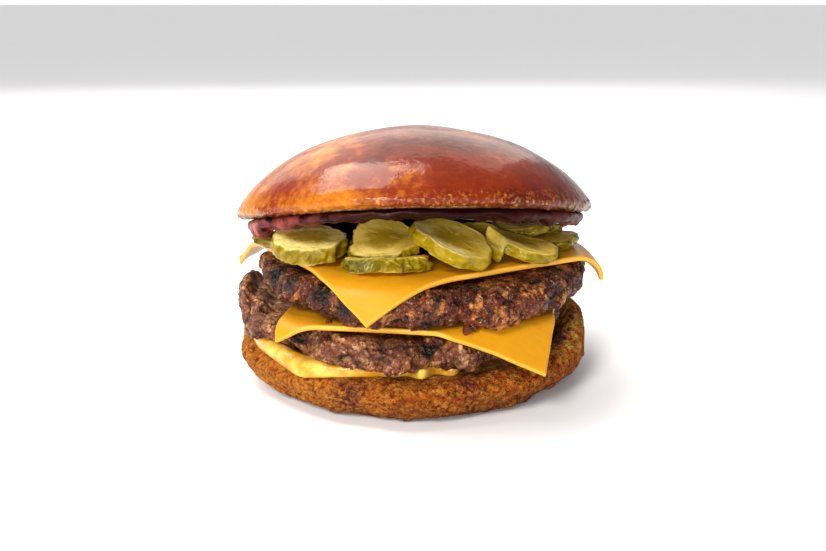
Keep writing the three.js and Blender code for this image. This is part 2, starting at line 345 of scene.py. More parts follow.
@dataclass
class Skin:
    """The closed mesh of a piece: places in millimetres, faces, and a number for each place by name."""

    places: Array
    faces: list[Sequence[int]]
    marks: dict[str, Array] = field(default_factory=dict)
    slots: Array | None = None

    @staticmethod
    def of_rings(
        grid: Array, marks: dict[str, Array] | None = None, slots: Array | None = None
    ) -> "Skin":
        """Closes a grid of rings whose first and last rows are poles.

        Args:
            grid: places, one row for each ring.
            marks: a number for each place of the grid, by name.
            slots: material slot of each ring of faces.

        Returns:
            The skin.
        """
        rows, columns = grid.shape[:2]
        body = grid[1:-1].reshape(-1, 3)
        places = np.vstack([grid[0].mean(0), body, grid[-1].mean(0)])
        here = 1 + np.arange((rows - 2) * columns).reshape(rows - 2, columns)
        there = np.roll(here, -1, axis=1)
        last = len(places) - 1
        quads = np.stack([here[:-1], there[:-1], there[1:], here[1:]], axis=-1).reshape(-1, 4)
        low = [(0, int(b), int(a)) for a, b in zip(here[0], there[0])]
        high = [(int(a), int(b), last) for a, b in zip(here[-1], there[-1])]
        flat = {}
        for name, values in (marks or {}).items():
            full = np.broadcast_to(values, (rows, columns))
            flat[name] = np.concatenate([[full[0].mean()], full[1:-1].ravel(), [full[-1].mean()]])
        per_face = None if slots is None else np.repeat(slots, columns)
        return Skin(places, low + quads.tolist() + high, flat, per_face)

    def build(
        self, name: str, finishes: Sequence[bpy.types.Material], nodes: Iterable[str], slot: str
    ) -> bpy.types.Object:
        """Makes the mesh, dresses it and lets it stand for its solids.

        Args:
            name: name of the piece.
            finishes: material of each group of faces.
            nodes: CAD nodes that the piece stands for.
            slot: not used; meant as the part's own name for what the piece is made of.

        Returns:
            The piece.
        """
        mesh = bpy.data.meshes.new(name)
        mesh.from_pydata((self.places * MM).tolist(), [], self.faces)
        mesh.update()
        for mark, values in self.marks.items():
            layer = mesh.attributes.new(mark, "FLOAT", "POINT")
            layer.data.foreach_set("value", np.ascontiguousarray(values, np.float32))
        for finish in finishes:
            mesh.materials.append(finish)
        if self.slots is not None:
            mesh.polygons.foreach_set("material_index", np.ascontiguousarray(self.slots, np.int32))
        mesh.shade_smooth()
        piece = bpy.data.objects.new(name, mesh)
        bpy.context.scene.collection.objects.link(piece)
        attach(piece, BODY)
        for node in nodes:
            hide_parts(node)
        triangles = sum(len(face) - 2 for face in self.faces)
        LOG.info("%s: %d triangles", name, triangles)
        return piece


def linear(colour: str) -> tuple[float, float, float, float]:
    """Turns a colour linear.

    Args:
        colour: an sRGB hex value such as #C0601A.

    Returns:
        Its red, green, blue and full cover.
    """
    parts = [int(colour[i : i + 2], 16) / 255 for i in (1, 3, 5)]
    red, green, blue = (c / 12.92 if c <= 0.04045 else ((c + 0.055) / 1.055) ** 2.4 for c in parts)
    return (red, green, blue, 1.0)


def per_mm(size: float) -> float:
    """Scale of a texture whose features are size millimetres wide, in a mesh in metres."""
    return 1 / (size * MM)


def add_node(
    tree: bpy.types.NodeTree, kind: str, settings: dict | None = None, inputs: dict | None = None
) -> bpy.types.Node:
    """Adds a node with its settings and links.

    Args:
        tree: node tree that it joins.
        kind: Blender's name for the kind of node.
        settings: properties of the node, by name.
        inputs: for each input, by name or number, its value or the output that feeds it.

    Returns:
        The node.
    """
    node = tree.nodes.new(kind)
    for name, value in (settings or {}).items():
        setattr(node, name, value)
    for key, value in (inputs or {}).items():
        if isinstance(value, bpy.types.NodeSocket):
            tree.links.new(value, node.inputs[key])
        else:
            node.inputs[key].default_value = value
    return node


class Tint(Enum):
    """Numbers of the sockets of a colour Mix node."""

    SHARE = 0
    FIRST = 6
    SECOND = 7
    RESULT = 2


class Recipe:
    """A material under construction, with the steps that every food here shares."""

    def __init__(self, name: str) -> None:
        """Starts a material.

        Args:
            name: its name.
        """
        self.material = bpy.data.materials.new(name)
        self.material.use_nodes = True
        self.tree = self.material.node_tree
        self.tree.nodes.clear()
        self.place = add_node(self.tree, "ShaderNodeTexCoord").outputs["Object"]

    def mark(self, name: str) -> bpy.types.NodeSocket:
        """The number that the mesh carries under that name."""
        settings = {"attribute_type": "GEOMETRY", "attribute_name": name}
        return add_node(self.tree, "ShaderNodeAttribute", settings).outputs["Fac"]

    def mottle(self, size: float, low: float, high: float, detail: float = 3.0) -> bpy.types.NodeSocket:
        """Noise, stretched to go from 0 to 1.

        Args:
            size: size of its largest blots, in millimetres.
            low: value of the noise that becomes 0.
            high: value of the noise that becomes 1.
            detail: how many finer sizes are added.

        Returns:
            The output that carries it.
        """
        noise = {"Vector": self.place, "Scale": per_mm(size), "Detail": detail, "Roughness": 0.6}
        value = add_node(self.tree, "ShaderNodeTexNoise", inputs=noise).outputs["Fac"]
        return self.stretch(value, low, high)

    def stretch(
        self, value: object, low: float, high: float, to_low: float = 0.0, to_high: float = 1.0
    ) -> bpy.types.NodeSocket:
        """Maps low to to_low and high to to_high, and holds it there outside."""
        inputs = {0: value, 1: low, 2: high, 3: to_low, 4: to_high}
        return add_node(self.tree, "ShaderNodeMapRange", {"clamp": True}, inputs).outputs[0]

    def math(self, operation: str, first: object, second: object) -> bpy.types.NodeSocket:
        """One sum of two numbers."""
        inputs = {0: first, 1: second}
        return add_node(self.tree, "ShaderNodeMath", {"operation": operation}, inputs).outputs[0]

    def tint(self, first: object, second: object, *shares: object) -> bpy.types.NodeSocket:
        """A colour between two.

        Args:
            first: the colour underneath, as a hex value or an output.
            second: the colour laid over it, likewise.
            shares: their product is the share of the second.

        Returns:
            The output that carries it.
        """
        share = shares[0]
        for other in shares[1:]:
            share = self.math("MULTIPLY", share, other)
        a, b = (linear(c) if isinstance(c, str) else c for c in (first, second))
        settings = {"data_type": "RGBA", "clamp_factor": True}
        inputs = {Tint.SHARE.value: share, Tint.FIRST.value: a, Tint.SECOND.value: b}
        return add_node(self.tree, "ShaderNodeMix", settings, inputs).outputs[Tint.RESULT.value]

    def wavering(self, middle: object, size: float, reach: float) -> bpy.types.NodeSocket:
        """A number that strays by up to a reach, in blots of a size in millimetres."""
        stray = self.stretch(self.mottle(size, 0.3, 0.7, 5), 0, 1, -reach, reach)
        return self.math("ADD", middle, stray)

    def gloss(self, size: float, smoothest: float, roughest: float) -> bpy.types.NodeSocket:
        """A roughness that varies in blots of a size in millimetres."""
        return self.stretch(self.mottle(size, 0.35, 0.65), 0, 1, smoothest, roughest)

    def bumps(self, height: object, depth: float, under: object = None) -> bpy.types.NodeSocket:
        """Bends the surface by a height.

        Args:
            height: the height, from 0 to 1.
            depth: how many millimetres a height of 1 is.
            under: a bend that this one lies over.

        Returns:
            The output that carries the bent normal.
        """
        inputs = {"Height": height, "Distance": depth * MM, "Strength": 1.0}
        if under is not None:
            inputs["Normal"] = under
        return add_node(self.tree, "ShaderNodeBump", inputs=inputs).outputs["Normal"]

    def finish(self, **sockets: object) -> bpy.types.Material:
        """Closes the material with a Principled shader.

        Args:
            sockets: values of its sockets; Subsurface_Radius stands for Subsurface Radius.

        Returns:
            The material.
        """
        inputs = {name.replace("_", " "): value for name, value in sockets.items()}
        shader = add_node(self.tree, "ShaderNodeBsdfPrincipled", inputs=inputs)
        add_node(self.tree, "ShaderNodeOutputMaterial", inputs={"Surface": shader.outputs["BSDF"]})
        return self.material


@dataclass(frozen=True)
class GlazedBrioche:
    """Brioche crust brushed with egg and baked: a glossy glaze over a leathery, unevenly browned skin.

    The glaze gives the eye wide soft highlights with ragged edges, over gold at the rim and chestnut
    on the crown.
    """

    golden: str = "#B66C0A"
    amber: str = "#742303"
    chestnut: str = "#4C0F02"
    scorched: str = "#2C0C05"
    blister: str = "#B87632"
    roughness: float = 0.42
    ior: float = 1.45
    glaze_roughness: float = 0.06
    freckle: float = 1.1
    dimple: float = 1.6

    def dress(self) -> bpy.types.Material:
        """Makes the material.

        Returns:
            The material.
        """
        r = Recipe("glazed_brioche")
        # The bake mark is uneven browning, and partly painted light: lighter on the left, toward the lamps, and
        # darker to the right front.
        uneven = r.wavering(r.mark("bake"), 8, 0.15)
        mottled = r.stretch(r.mottle(2.8, 0.34, 0.66, 4), 0, 1, -0.10, 0.10)
        uneven = r.math("ADD", uneven, mottled)
        colour = r.tint(self.golden, self.amber, r.stretch(uneven, 0.05, 0.45))
        colour = r.tint(colour, self.chestnut, r.stretch(uneven, 0.45, 0.95))
        colour = r.tint(colour, self.scorched, r.mark("scorch"))
        colour = r.tint(colour, self.blister, r.mottle(self.freckle, 0.50, 0.66, 3), r.mark("blister"))
        colour = r.tint(colour, self.scorched, r.mottle(1.5, 0.60, 0.72, 3), 0.5)
        smear = r.mottle(3, 0.3, 0.7)
        fine = r.bumps(r.mottle(self.dimple, 0.2, 0.8, 3), 0.045)
        fine = r.bumps(r.mottle(self.dimple * 4, 0.2, 0.8, 2), 0.05, fine)
        return r.finish(
            Base_Color=colour,
            Roughness=r.stretch(smear, 0, 1, self.roughness - 0.08, self.roughness + 0.1),
            IOR=self.ior,
            Normal=fine,
            Specular_IOR_Level=0.1,
            Coat_Weight=0.6,
            Coat_Roughness=self.glaze_roughness,
            Coat_IOR=1.38,
            Coat_Normal=fine,
            Subsurface_Weight=0.04,
            Subsurface_Radius=(0.9, 0.4, 0.15),
            Subsurface_Scale=1.2 * MM,
        )


@dataclass(frozen=True)
class BakedCrumb:
    """Crust of a bun that baked against its tin: dry and matt, with small pits and darker grains, both painted
    darker as the shade inside small hollows.
    """

    name: str = "baked_crumb"
    light: str = "#D2882C"
    brown: str = "#A64C0A"
    pit: str = "#4E1C06"
    scorched: str = "#3E1C0C"
    stain: str = "#D9B04A"
    wine: str = "#4A1C2A"
    roughness: float = 0.82
    ior: float = 1.4
    grain: float = 0.55

    def dress(self) -> bpy.types.Material:
        """Makes the material.

        Returns:
            The material.
        """
        r = Recipe(self.name)
        colour = r.tint(self.brown, self.light, r.mottle(2.6, 0.42, 0.72, 4))
        # Painted light, partly: the raised mark is lighter raised grain, and on the foot of the bun also a
        # lighter left side toward the lamps.
        colour = r.tint(colour, self.light, r.mark("raised"), 0.55)
        # Painted shade: fine specks and the marked pits take the dark pit colour, as the shade inside small
        # hollows.
        colour = r.tint(colour, self.pit, r.mottle(1.2, 0.46, 0.68, 4), 0.75)
        colour = r.tint(colour, self.pit, r.mark("pit"))
        colour = r.tint(colour, self.scorched, r.mark("scorch"), r.mottle(3, 0.3, 0.6, 4))
        colour = r.tint(colour, self.stain, r.mark("stain"), r.mottle(4, 0.46, 0.72, 3))
        colour = r.tint(colour, self.wine, r.mark("wine"), r.mottle(2.4, 0.42, 0.58, 3))
        rough = r.bumps(r.mottle(self.grain, 0.3, 0.7, 3), 0.5)
        rough = r.bumps(r.mottle(self.grain * 3, 0.3, 0.7, 3), 1.3, rough)
        return r.finish(
            Base_Color=colour,
            Roughness=self.roughness,
            IOR=self.ior,
            Specular_IOR_Level=0.25,
            Normal=rough,
            Subsurface_Weight=0.06,
            Subsurface_Radius=(1.0, 0.5, 0.2),
            Subsurface_Scale=1.0 * MM,
        )


@dataclass(frozen=True)
class SearedBeef:
    """Coarse minced beef seared on a griddle: browned lumps, crevices painted darker as shade, a wet fatty
    film, and pale fatty specks that also stand in for painted glints.
    """

    name: str
    brown: str
    tan: str
    pale: str
    crevice: str
    wine: str = "#561614"
    fat: str = "#DCB090"
    char: str = "#0A0605"
    roughness: float = 0.42
    ior: float = 1.42
    film: float = 0.5
    fibre: float = 0.7

    def dress(self) -> bpy.types.Material:
        """Makes the material.

        Returns:
            The material.
        """
        r = Recipe(self.name)
        colour = r.tint(self.brown, self.tan, r.mottle(3.2, 0.40, 0.66, 4))
        colour = r.tint(colour, self.wine, r.mottle(6, 0.42, 0.60, 3), 0.7)
        colour = r.tint(colour, self.pale, r.mark("pale"), r.mottle(1.8, 0.42, 0.60, 3))
        # Pale specks: partly fatty bits, partly painted glints of the wet film.
        colour = r.tint(colour, self.fat, r.mottle(1.0, 0.60, 0.70, 2), 0.6)
        # Painted shade: the crevice mark and fine specks in the crevice colour darken the hollows of the mince.
        colour = r.tint(colour, self.crevice, r.mark("crevice"))
        colour = r.tint(colour, self.crevice, r.mottle(1.3, 0.54, 0.70, 3), 0.7)
        colour = r.tint(colour, self.char, r.mark("char"), r.mottle(2.2, 0.30, 0.46, 4))
        rough = r.bumps(r.mottle(self.fibre, 0.25, 0.75, 3), 0.3)
        rough = r.bumps(r.mottle(self.fibre * 2.8, 0.25, 0.75, 3), 0.9, rough)
        return r.finish(
            Base_Color=colour,
            Roughness=r.gloss(2.4, self.roughness - 0.14, self.roughness + 0.16),
            IOR=self.ior,
            Specular_IOR_Level=0.1,
            Normal=rough,
            Coat_Weight=self.film,
            Coat_Roughness=0.12,
            Coat_IOR=1.5,
            Coat_Normal=rough,
            Subsurface_Weight=0.05,
            Subsurface_Radius=(1.0, 0.35, 0.2),
            Subsurface_Scale=0.8 * MM,
        )


@dataclass(frozen=True)
class ProcessedCheese:
    """A warm slice of processed cheese: smooth and satin, and light goes a little way into it."""

    yellow: str = "#C98E12"
    deep: str = "#C2800E"
    edge: str = "#E4AE44"
    speck: str = "#C88A10"
    roughness: float = 0.36
    ior: float = 1.45

    def dress(self) -> bpy.types.Material:
        """Makes the material.

        Returns:
            The material.
        """
        r = Recipe("processed_cheese")
        colour = r.tint(self.yellow, self.deep, r.mottle(22, 0.35, 0.70, 3), 0.5)
        # Painted highlight: the cut edges of the slice are coloured lighter.
        colour = r.tint(colour, self.edge, r.mark("edge"))
        colour = r.tint(colour, self.speck, r.mottle(0.8, 0.68, 0.8, 1), 0.2)
        fine = r.bumps(r.mottle(1.4, 0.2, 0.8, 3), 0.05)
        fine = r.bumps(r.mottle(9, 0.2, 0.8, 2), 0.25, fine)
        return r.finish(
            Base_Color=colour,
            Roughness=r.gloss(6, self.roughness - 0.06, self.roughness + 0.08),
            IOR=self.ior,
            Normal=fine,
            Specular_IOR_Level=0.3,
            Coat_Weight=0.1,
            Coat_Roughness=0.25,
            Subsurface_Weight=0.22,
            Subsurface_Radius=(1.0, 0.55, 0.12),
            Subsurface_Scale=2.2 * MM,
        )


@dataclass(frozen=True)
class BrinedGherkin:
    """Sliced pickled gherkin: wet and half clear, with pale flesh, dull core, seeds and dark skin."""

    flesh: str = "#D2AC1A"
    cream: str = "#F8E894"
    core: str = "#B28C10"
    seed: str = "#E2CC70"
    rind: str = "#98800A"
    skin: str = "#6C5E04"
    dark_skin: str = "#3A3202"
    green: str = "#464606"
    roughness: float = 0.26
    ior: float = 1.38

    def dress(self) -> bpy.types.Material:
        """Makes the material.

        Returns:
            The material.
        """
        r = Recipe("brined_gherkin")
        # The cream mark is pale flesh, and on some slices painted light as well.
        colour = r.tint(self.flesh, self.cream, r.mark("cream"))
        colour = r.tint(colour, self.core, r.mark("core"), 0.85)
        colour = r.tint(colour, self.core, r.mottle(2.4, 0.48, 0.7, 3), 0.45)
        colour = r.tint(colour, self.seed, r.mark("seed"))
        skin = r.tint(self.skin, self.dark_skin, r.mottle(2.0, 0.42, 0.66, 3))
        skin = r.tint(skin, self.rind, r.mottle(3.4, 0.46, 0.62, 3), 0.8)
        skin = r.tint(skin, self.rind, r.mark("blond"))
        skin = r.tint(skin, self.green, r.mark("green"), r.mottle(1.8, 0.3, 0.55, 3))
        colour = r.tint(colour, skin, r.mark("skin"))
        fine = r.bumps(r.mottle(1.6, 0.2, 0.8, 2), 0.14)
        return r.finish(
            Base_Color=colour,
            Roughness=self.roughness,
            IOR=self.ior,
            Specular_IOR_Level=0.15,
            Normal=fine,
            Coat_Weight=0.3,
            Coat_Roughness=0.06,
            Coat_Normal=fine,
            Subsurface_Weight=0.35,
            Subsurface_Radius=(1.0, 0.8, 0.2),
            Subsurface_Scale=2.5 * MM,
        )


@dataclass(frozen=True)
class Sauce:
    """A thick sauce: smooth, wet and glossy, with soft mottling where it has run and mixed; on the red sauces
    the same tints are a painted reflection and painted shade.
    """

    name: str
    main: str
    light: str
    spot: str
    spots: tuple[float, float] = (0.62, 0.74)
    gloss: float = 0.5
    shine: float = 0.2
    roughness: float = 0.28
    ior: float = 1.42
    depth: float = 1.6

    def dress(self) -> bpy.types.Material:
        """Makes the material.

        Returns:
            The material.
        """
        r = Recipe(self.name)
        # On the red sauces the light tint is a painted reflection and the spot colour painted shade; on the
        # yellow sauce they are its own mottling and spots.
        colour = r.tint(self.main, self.light, r.mottle(5, 0.38, 0.62, 3), r.mark("mixed"))
        colour = r.tint(colour, self.spot, r.mottle(4.5, *self.spots, 4), r.mark("spotted"))
        fine = r.bumps(r.mottle(2.2, 0.2, 0.8, 3), 0.18)
        return r.finish(
            Base_Color=colour,
            Roughness=self.roughness,
            IOR=self.ior,
            Specular_IOR_Level=self.shine,
            Normal=fine,
            Coat_Weight=self.gloss,
            Coat_Roughness=0.12,
            Coat_Normal=fine,
            Subsurface_Weight=0.2,
            Subsurface_Radius=(1.0, 0.6, 0.25),
            Subsurface_Scale=self.depth * MM,
        )


@dataclass(frozen=True)
class Finishes:
    """Every finish of the burger, made once."""

    glaze: bpy.types.Material
    crust: bpy.types.Material
    crumb: bpy.types.Material
    beef_dark: bpy.types.Material
    beef_pale: bpy.types.Material
    cheese: bpy.types.Material
    gherkin: bpy.types.Material
    yellow: bpy.types.Material
    red: bpy.types.Material
    # pressed: the dark, matt sauce laid on the upper slice as painted shade.
    pressed: bpy.types.Material

    @staticmethod
    def mixed() -> "Finishes":
        """Makes the materials of all finishes.

        Returns:
            The finishes.
        """
        return Finishes(
            glaze=GlazedBrioche().dress(),
            crust=BakedCrumb().dress(),
            crumb=BakedCrumb("cut_crumb", "#D0A468", "#AC7230", "#7A4416", "#46200A").dress(),
            beef_dark=SearedBeef("seared_beef_dark", "#481607", "#763613", "#C07A3A", "#120302").dress(),
            beef_pale=SearedBeef("seared_beef_pale", "#622C13", "#96582C", "#D09A68", "#1E0805").dress(),
            cheese=ProcessedCheese().dress(),
            gherkin=BrinedGherkin().dress(),
            yellow=Sauce("yellow_sauce", "#BE8414", "#D8B04C", "#B0480A").dress(),
            # A dark, matt sauce that stands as painted shade in the gap under the crown.
            pressed=Sauce(
                "pressed_red_sauce", "#2A0403", "#5A1410", "#080101", gloss=0, shine=0, roughness=0.9
            ).dress(),
            # The red sauce's near-black main colour is partly painted shade for the shadow under the crown, and
            # its pale mauve tint is a painted reflection.
            red=Sauce(
                "red_sauce", "#1E0203", "#B4544C", "#080101", gloss=0.15, shine=0.05, roughness=0.5
            ).dress(),
        )


@dataclass
class BottomBun:
    """The foot of the bun: pressed down by the filling, curled up at the rim, with an open crust."""

    radius: float = 56.0
    width: float = 0.975
    well: float = 11.6
    curl_from: float = 44.0
    shoulder_from: float = 47.0
    shoulder_drop: float = 4.6
    cut: float = 8.5
    columns: int = 720
    curls: tuple[tuple[float, float], ...] = ((-90, 1.6), (8, 11), (90, 3.4), (180, 4.4))
    juices: Waves = ((-110, 8, 4.5), (-72, 11, 3), (-27, 17, 3), (115, 9, 5))
    waves: Waves = (
        (2, 0.1, 0.5),
        (5, 0.2, 0.35),
        (11, 0.5, 0.3),
        (17, 0.9, 0.25),
    )
    crust: tuple[tuple[float, float], ...] = (
        (46.4, 0),
        (50.2, 1.5),
        (53, 4.2),
        (55.4, 7.5),
        (56, 8.5),
    )

    def cut_face(self, x: Array, y: Array) -> Array:
        """Height of the cut face.

        Args:
            x: places to the right of the middle.
            y: places behind the middle.

        Returns:
            The height at each place.
        """
        angle = np.arctan2(y, x)
        radius = np.hypot(x / self.width, y)
        lift = sum(rise * facing(angle, side, 2.6) for side, rise in self.curls)
        shoulder = np.maximum(0, (radius - self.shoulder_from) / (self.radius - self.shoulder_from))
        rim = lift * smooth(self.curl_from, self.radius - 2, radius)
        return self.well + rim - self.shoulder_drop * shoulder**2

    def _spilt(self, angle: Array, height: Array) -> Array:
        """How much dark juice has soaked into the crust at a place.

        Args:
            angle: angle round the bun, in radians.
            height: height of the place.

        Returns:
            Its share, from 0 to 1.
        """
        return np.clip(sum(blot(angle, height, self.radius, juice) for juice in self.juices), 0, 1)

    def build(self, crust: bpy.types.Material, crumb: bpy.types.Material) -> bpy.types.Object:
        """Builds the foot of the bun.

        Args:
            crust: finish of the outside.
            crumb: finish of the cut face.

        Returns:
            The piece.
        """
        side = curve_through(self.crust, 0.42)
        foot = [(0, 0), (20, 0), (34, 0), (41, 0), (44, 0), (45.5, 0)]
        over = [(r, self.cut) for r in np.arange(55.6, 43.0, -0.5)]
        inner = [(r, self.cut) for r in (41, 36, 28, 18, 8, 0)]
        profile = np.vstack([foot, side, over, inner])
        grid, angle = turned(profile, self.columns)
        radius, height = np.hypot(grid[..., 0], grid[..., 1]), grid[..., 2]
        rim = smooth(0, 5, height) * smooth(46, 54, radius)
        grow = 1 + rim * relief(angle, height, self.waves, 3) / self.radius
        grid[..., 0] *= grow * self.width
        grid[..., 1] *= grow
        top = height >= self.cut - 1e-6
        grid[..., 2] = np.where(top, self.cut_face(grid[..., 0], grid[..., 1]), height)
        grain = Grain(3)
        pits, _, _ = grain.cells(grain.shifted(grid, 3, 0.8), 1.7)
        pit = smooth(0.46, 0.14, pits)
        coarse = grain.waves(grid, 3.4, 3)
        shown = smooth(44, 47, radius) * smooth(0.0, 1.2, grid[..., 2] + np.where(top, 9, 0))
        rough = 0.55 * grain.waves(grid, 11, 2) + 0.36 * coarse - 0.7 * pit
        rough = rough + 0.12 * grain.waves(grid, 1.2, 1)
        grid = grid + outward(grid) * (rough * shown)[..., None]
        grid[..., 2] = np.maximum(grid[..., 2], 0)
        burnt = facing(angle, -35, 2) * smooth(9, 1, height) + 0.7 * smooth(3.5, 0.5, height)
        burnt = burnt + 0.4 * np.maximum(0, grain.waves(grid, 9, 2))
        stained = smooth(12, 14, grid[..., 2]) * smooth(46, 49, radius) * facing(angle, -15, 1)
        marks = {
            # The displaced pits, painted darker as shade.
            "pit": pit * 0.85 * shown,
            # Lighter raised grain, plus painted light on the left side, which faces the lamps.
            "raised": np.clip(coarse + 0.9 * facing(angle, 205, 1.3), 0, 1),
            "scorch": np.clip(burnt, 0, 0.95),
            "stain": np.broadcast_to(stained, height.shape),
            "wine": self._spilt(angle, grid[..., 2]),
        }
        rows = len(profile)
        on_cut = np.arange(rows - 1) >= len(foot) + len(side) + 20
        return Skin.of_rings(grid, marks, on_cut.astype(int)).build(
            "bottom_bun_baked", [crust, crumb], ["bottom_bun"], "bun_base"
        )


@dataclass
class YellowSauce:
    """A pool of yellow sauce on the foot of the bun.

    It laps over the shoulder of the bun at the left and the front, and is drawn in at the front right.
    """

    bun: BottomBun
    radius: float = 48.0
    gap: float = 0.6
    thickness: float = 1.3
    columns: int = 420
    waves: Waves = ((3, 0, 0.9), (7, 0, 0.6), (12, 0, 0.4))
    laps: Waves = (
        (-150, 5.4, 34),
        (-117, 3.4, 15),
        (-152, 0.8, 8),
        (-126, 1.0, 6),
        (-87, 5.0, 3.5),
        (-75, 4.2, 4.5),
    )
    drawn_in: tuple[float, float, float] = (-60, 6.0, 38)

    def build(self, finish: bpy.types.Material) -> bpy.types.Object:
        """Builds the pool.

        Args:
            finish: its material.

        Returns:
            The piece.
        """
        share = np.concatenate([[0, 0.3, 0.6, 0.78], np.linspace(0.84, 0.985, 16)])
        turn = np.linspace(0, math.pi, 9)[1:-1]
        lip = 0.985 + 0.015 * np.sin(turn)
        level = np.concatenate([0 * share, 0.5 - 0.5 * np.cos(turn), 0 * share + 1])
        share = np.concatenate([share, lip, share[::-1]])
        angle = round_about(self.columns)
        lap = sum(bump(angle, *spot) for spot in self.laps) - 4.5 * facing(angle, -30, 1.2)
        reach = self.radius + lap - bump(angle, *self.drawn_in) + relief(angle, 0 * angle, self.waves, 5)
        grid = disc(share, reach, angle)
        grain = Grain(5)
        swell = 1 + 0.5 * grain.waves(grid, 7, 2) + 0.9 * smooth(0.86, 0.95, share)[:, None]
        swell = swell * (1 - 0.45 * facing(angle, 15, 1)) + 0.7 * facing(angle, -135, 3)
        base = self.bun.cut_face(grid[..., 0], grid[..., 1]) + self.gap
        grid[..., 2] = base + level[:, None] * self.thickness * np.maximum(swell, 0.5)
        outer = smooth(0.7, 0.9, share)[:, None]
        grid[..., 2] -= (1 - level[:, None]) * 0.5 * outer
        full = np.ones_like(swell)
        marks = {"spotted": facing(angle, -128, 6) * full, "mixed": full}
        skin = Skin.of_rings(grid, marks)
        return skin.build("yellow_sauce_pool", [finish], ["yellow_sauce"], "yellow_sauce")


@dataclass(frozen=True)
class Lobe:
    """A part of a patty that stands out from its side.

    out is how far, share how much of it is left at the top, and sag how far its lower edge hangs.
    """

    at: float
    out: float
    width: float
    share: float
    sag: float


@dataclass
class Patty:
    """A patty of coarse mince: browned lumps, deep crevices and an uneven, torn side."""

    piece: str
    node: str
    centre: tuple[float, float]
    radius: float
    seed: float
    clefts: Waves
    lobes: tuple[Lobe, ...]
    bottom: Callable[[Array, Array], Array]
    top: Callable[[Array, Array], Array]
    chars: Waves = ()
    edge: float = 0.13
    columns: int = 880
    lump: float = 7.0
    crag: float = 2.9
    bit: float = 1.4
    waves: Waves = (
        (3, 0.3, 0.5),
        (5, 0.9, 0.45),
        (9, -0.8, 0.5),
        (14, 1.4, 0.45),
        (19, -1.1, 0.4),
    )

    def _profile(self) -> Array:
        """The outline of the patty, cut through the middle.

        Returns:
            Share of the radius and level, from -1 to 1, of each ring.
        """
        turn = np.linspace(0, math.pi, 42)
        side = np.stack([1 - self.edge + self.edge * np.sin(turn) ** 0.8, -np.cos(turn)], axis=1)
        under = [(s, -1) for s in (0, 0.4, 0.66, *np.linspace(0.74, 0.86, 10))]
        over = [(s, 1) for s in (*np.linspace(0.86, 0.72, 14), 0.6, 0.4, 0.2, 0)]
        return np.vstack([under, side, over])

    def surface(self, share: Array, level: Array, angle: Array) -> Array:
        """Places on the patty before its finer relief.

        Args:
            share: share of the radius.
            level: -1 at the bottom, 1 at the top.
            angle: angle round the middle, in radians.

        Returns:
            The places, with x, y and z last.
        """
        outer = smooth(0.7, 0.95, share)
        height = (level + 1) / 2
        lumps = relief(angle, 2 * level, self.waves, self.seed)
        cuts = sum(bump(angle, at, depth, width) for at, depth, width in self.clefts)
        lobe = sum(mix(1, l.share, height) * bump(angle, l.at, l.out, l.width) for l in self.lobes)
        sag = sum(bump(angle, l.at, l.sag, l.width) for l in self.lobes)
        reach = self.radius + (lumps + lobe - cuts) * outer
        x = self.centre[0] + share * reach * np.cos(angle)
        y = self.centre[1] + share * reach * np.sin(angle)
        low = self.bottom(x, y) - sag * smooth(0.9, 0.97, share)
        return np.stack([x, y, mix(low, self.top(x, y), height)], axis=-1)

    def build(self, finish: bpy.types.Material) -> bpy.types.Object:
        """Builds the patty with the lumps and crevices of its mince.

        Args:
            finish: its material.

        Returns:
            The piece.
        """
        profile = self._profile()
        share, level = profile[:, :1], profile[:, 1:]
        angle = round_about(self.columns)
        grid = self.surface(share, level, angle[None, :])
        grain = Grain(int(self.seed * 10))
        torn = grain.shifted(grain.shifted(grain.shifted(grid, 9, 2.2), 2.6, 1.3), 1.2, 0.45)
        big, _, tone = grain.cells(torn, self.lump)
        near, second, tone2 = grain.cells(torn + 40, self.crag)
        tiny, _, _ = grain.cells(torn + 80, self.bit)
        tear = grain.waves(grid, 8, 3)
        crack = smooth(0.08, 0.0, np.abs(grain.waves(grid + 30, 10, 2)))
        depth = 1.5 * big**2 + 1.0 * near**2 + 0.4 * tiny**2 + 0.35 * smooth(0.2, 0, second - near)
        depth = depth + 0.7 * crack + 0.9 * np.maximum(0, tear) - 0.8 * tone
        side = smooth(0.86, 0.95, share)
        face = smooth(0.70, 0.84, share)
        push = (0.8 - depth) * side + (-0.2 - 0.3 * depth) * (face - side)
        grid = grid + outward(grid) * push[..., None]
        # Painted shade: the deeper a place lies in the relief, the more of the dark crevice colour it gets.
        hidden = np.clip((depth - 0.2) / 1.35, 0, 1) ** 1.1
        seared = grain.waves(grid + 90, 15, 2)
        char = smooth(0.25, 0.6, seared) * 0.35
        char = char + 1.4 * sum(blot(angle, grid[..., 2], self.radius, spot) for spot in self.chars)
        marks = {
            "crevice": hidden * 0.9,
            "pale": np.clip(smooth(0.55, 0.85, tone2) * (1 - hidden) + 0.2 * tone, 0, 1),
            "char": np.clip(char, 0, 1),
        }
        return Skin.of_rings(grid, marks).build(self.piece, [finish], [self.node], "patty")


@dataclass(frozen=True)
class Fold:
    """How a slice folds down over a patty towards a side: where it starts, its radius and its angle.

    The line of the fold is straight where curve is 0 and follows the patty's edge where it is 1.
    """

    side: float
    start: float
    radius: float
    angle: float
    curve: float


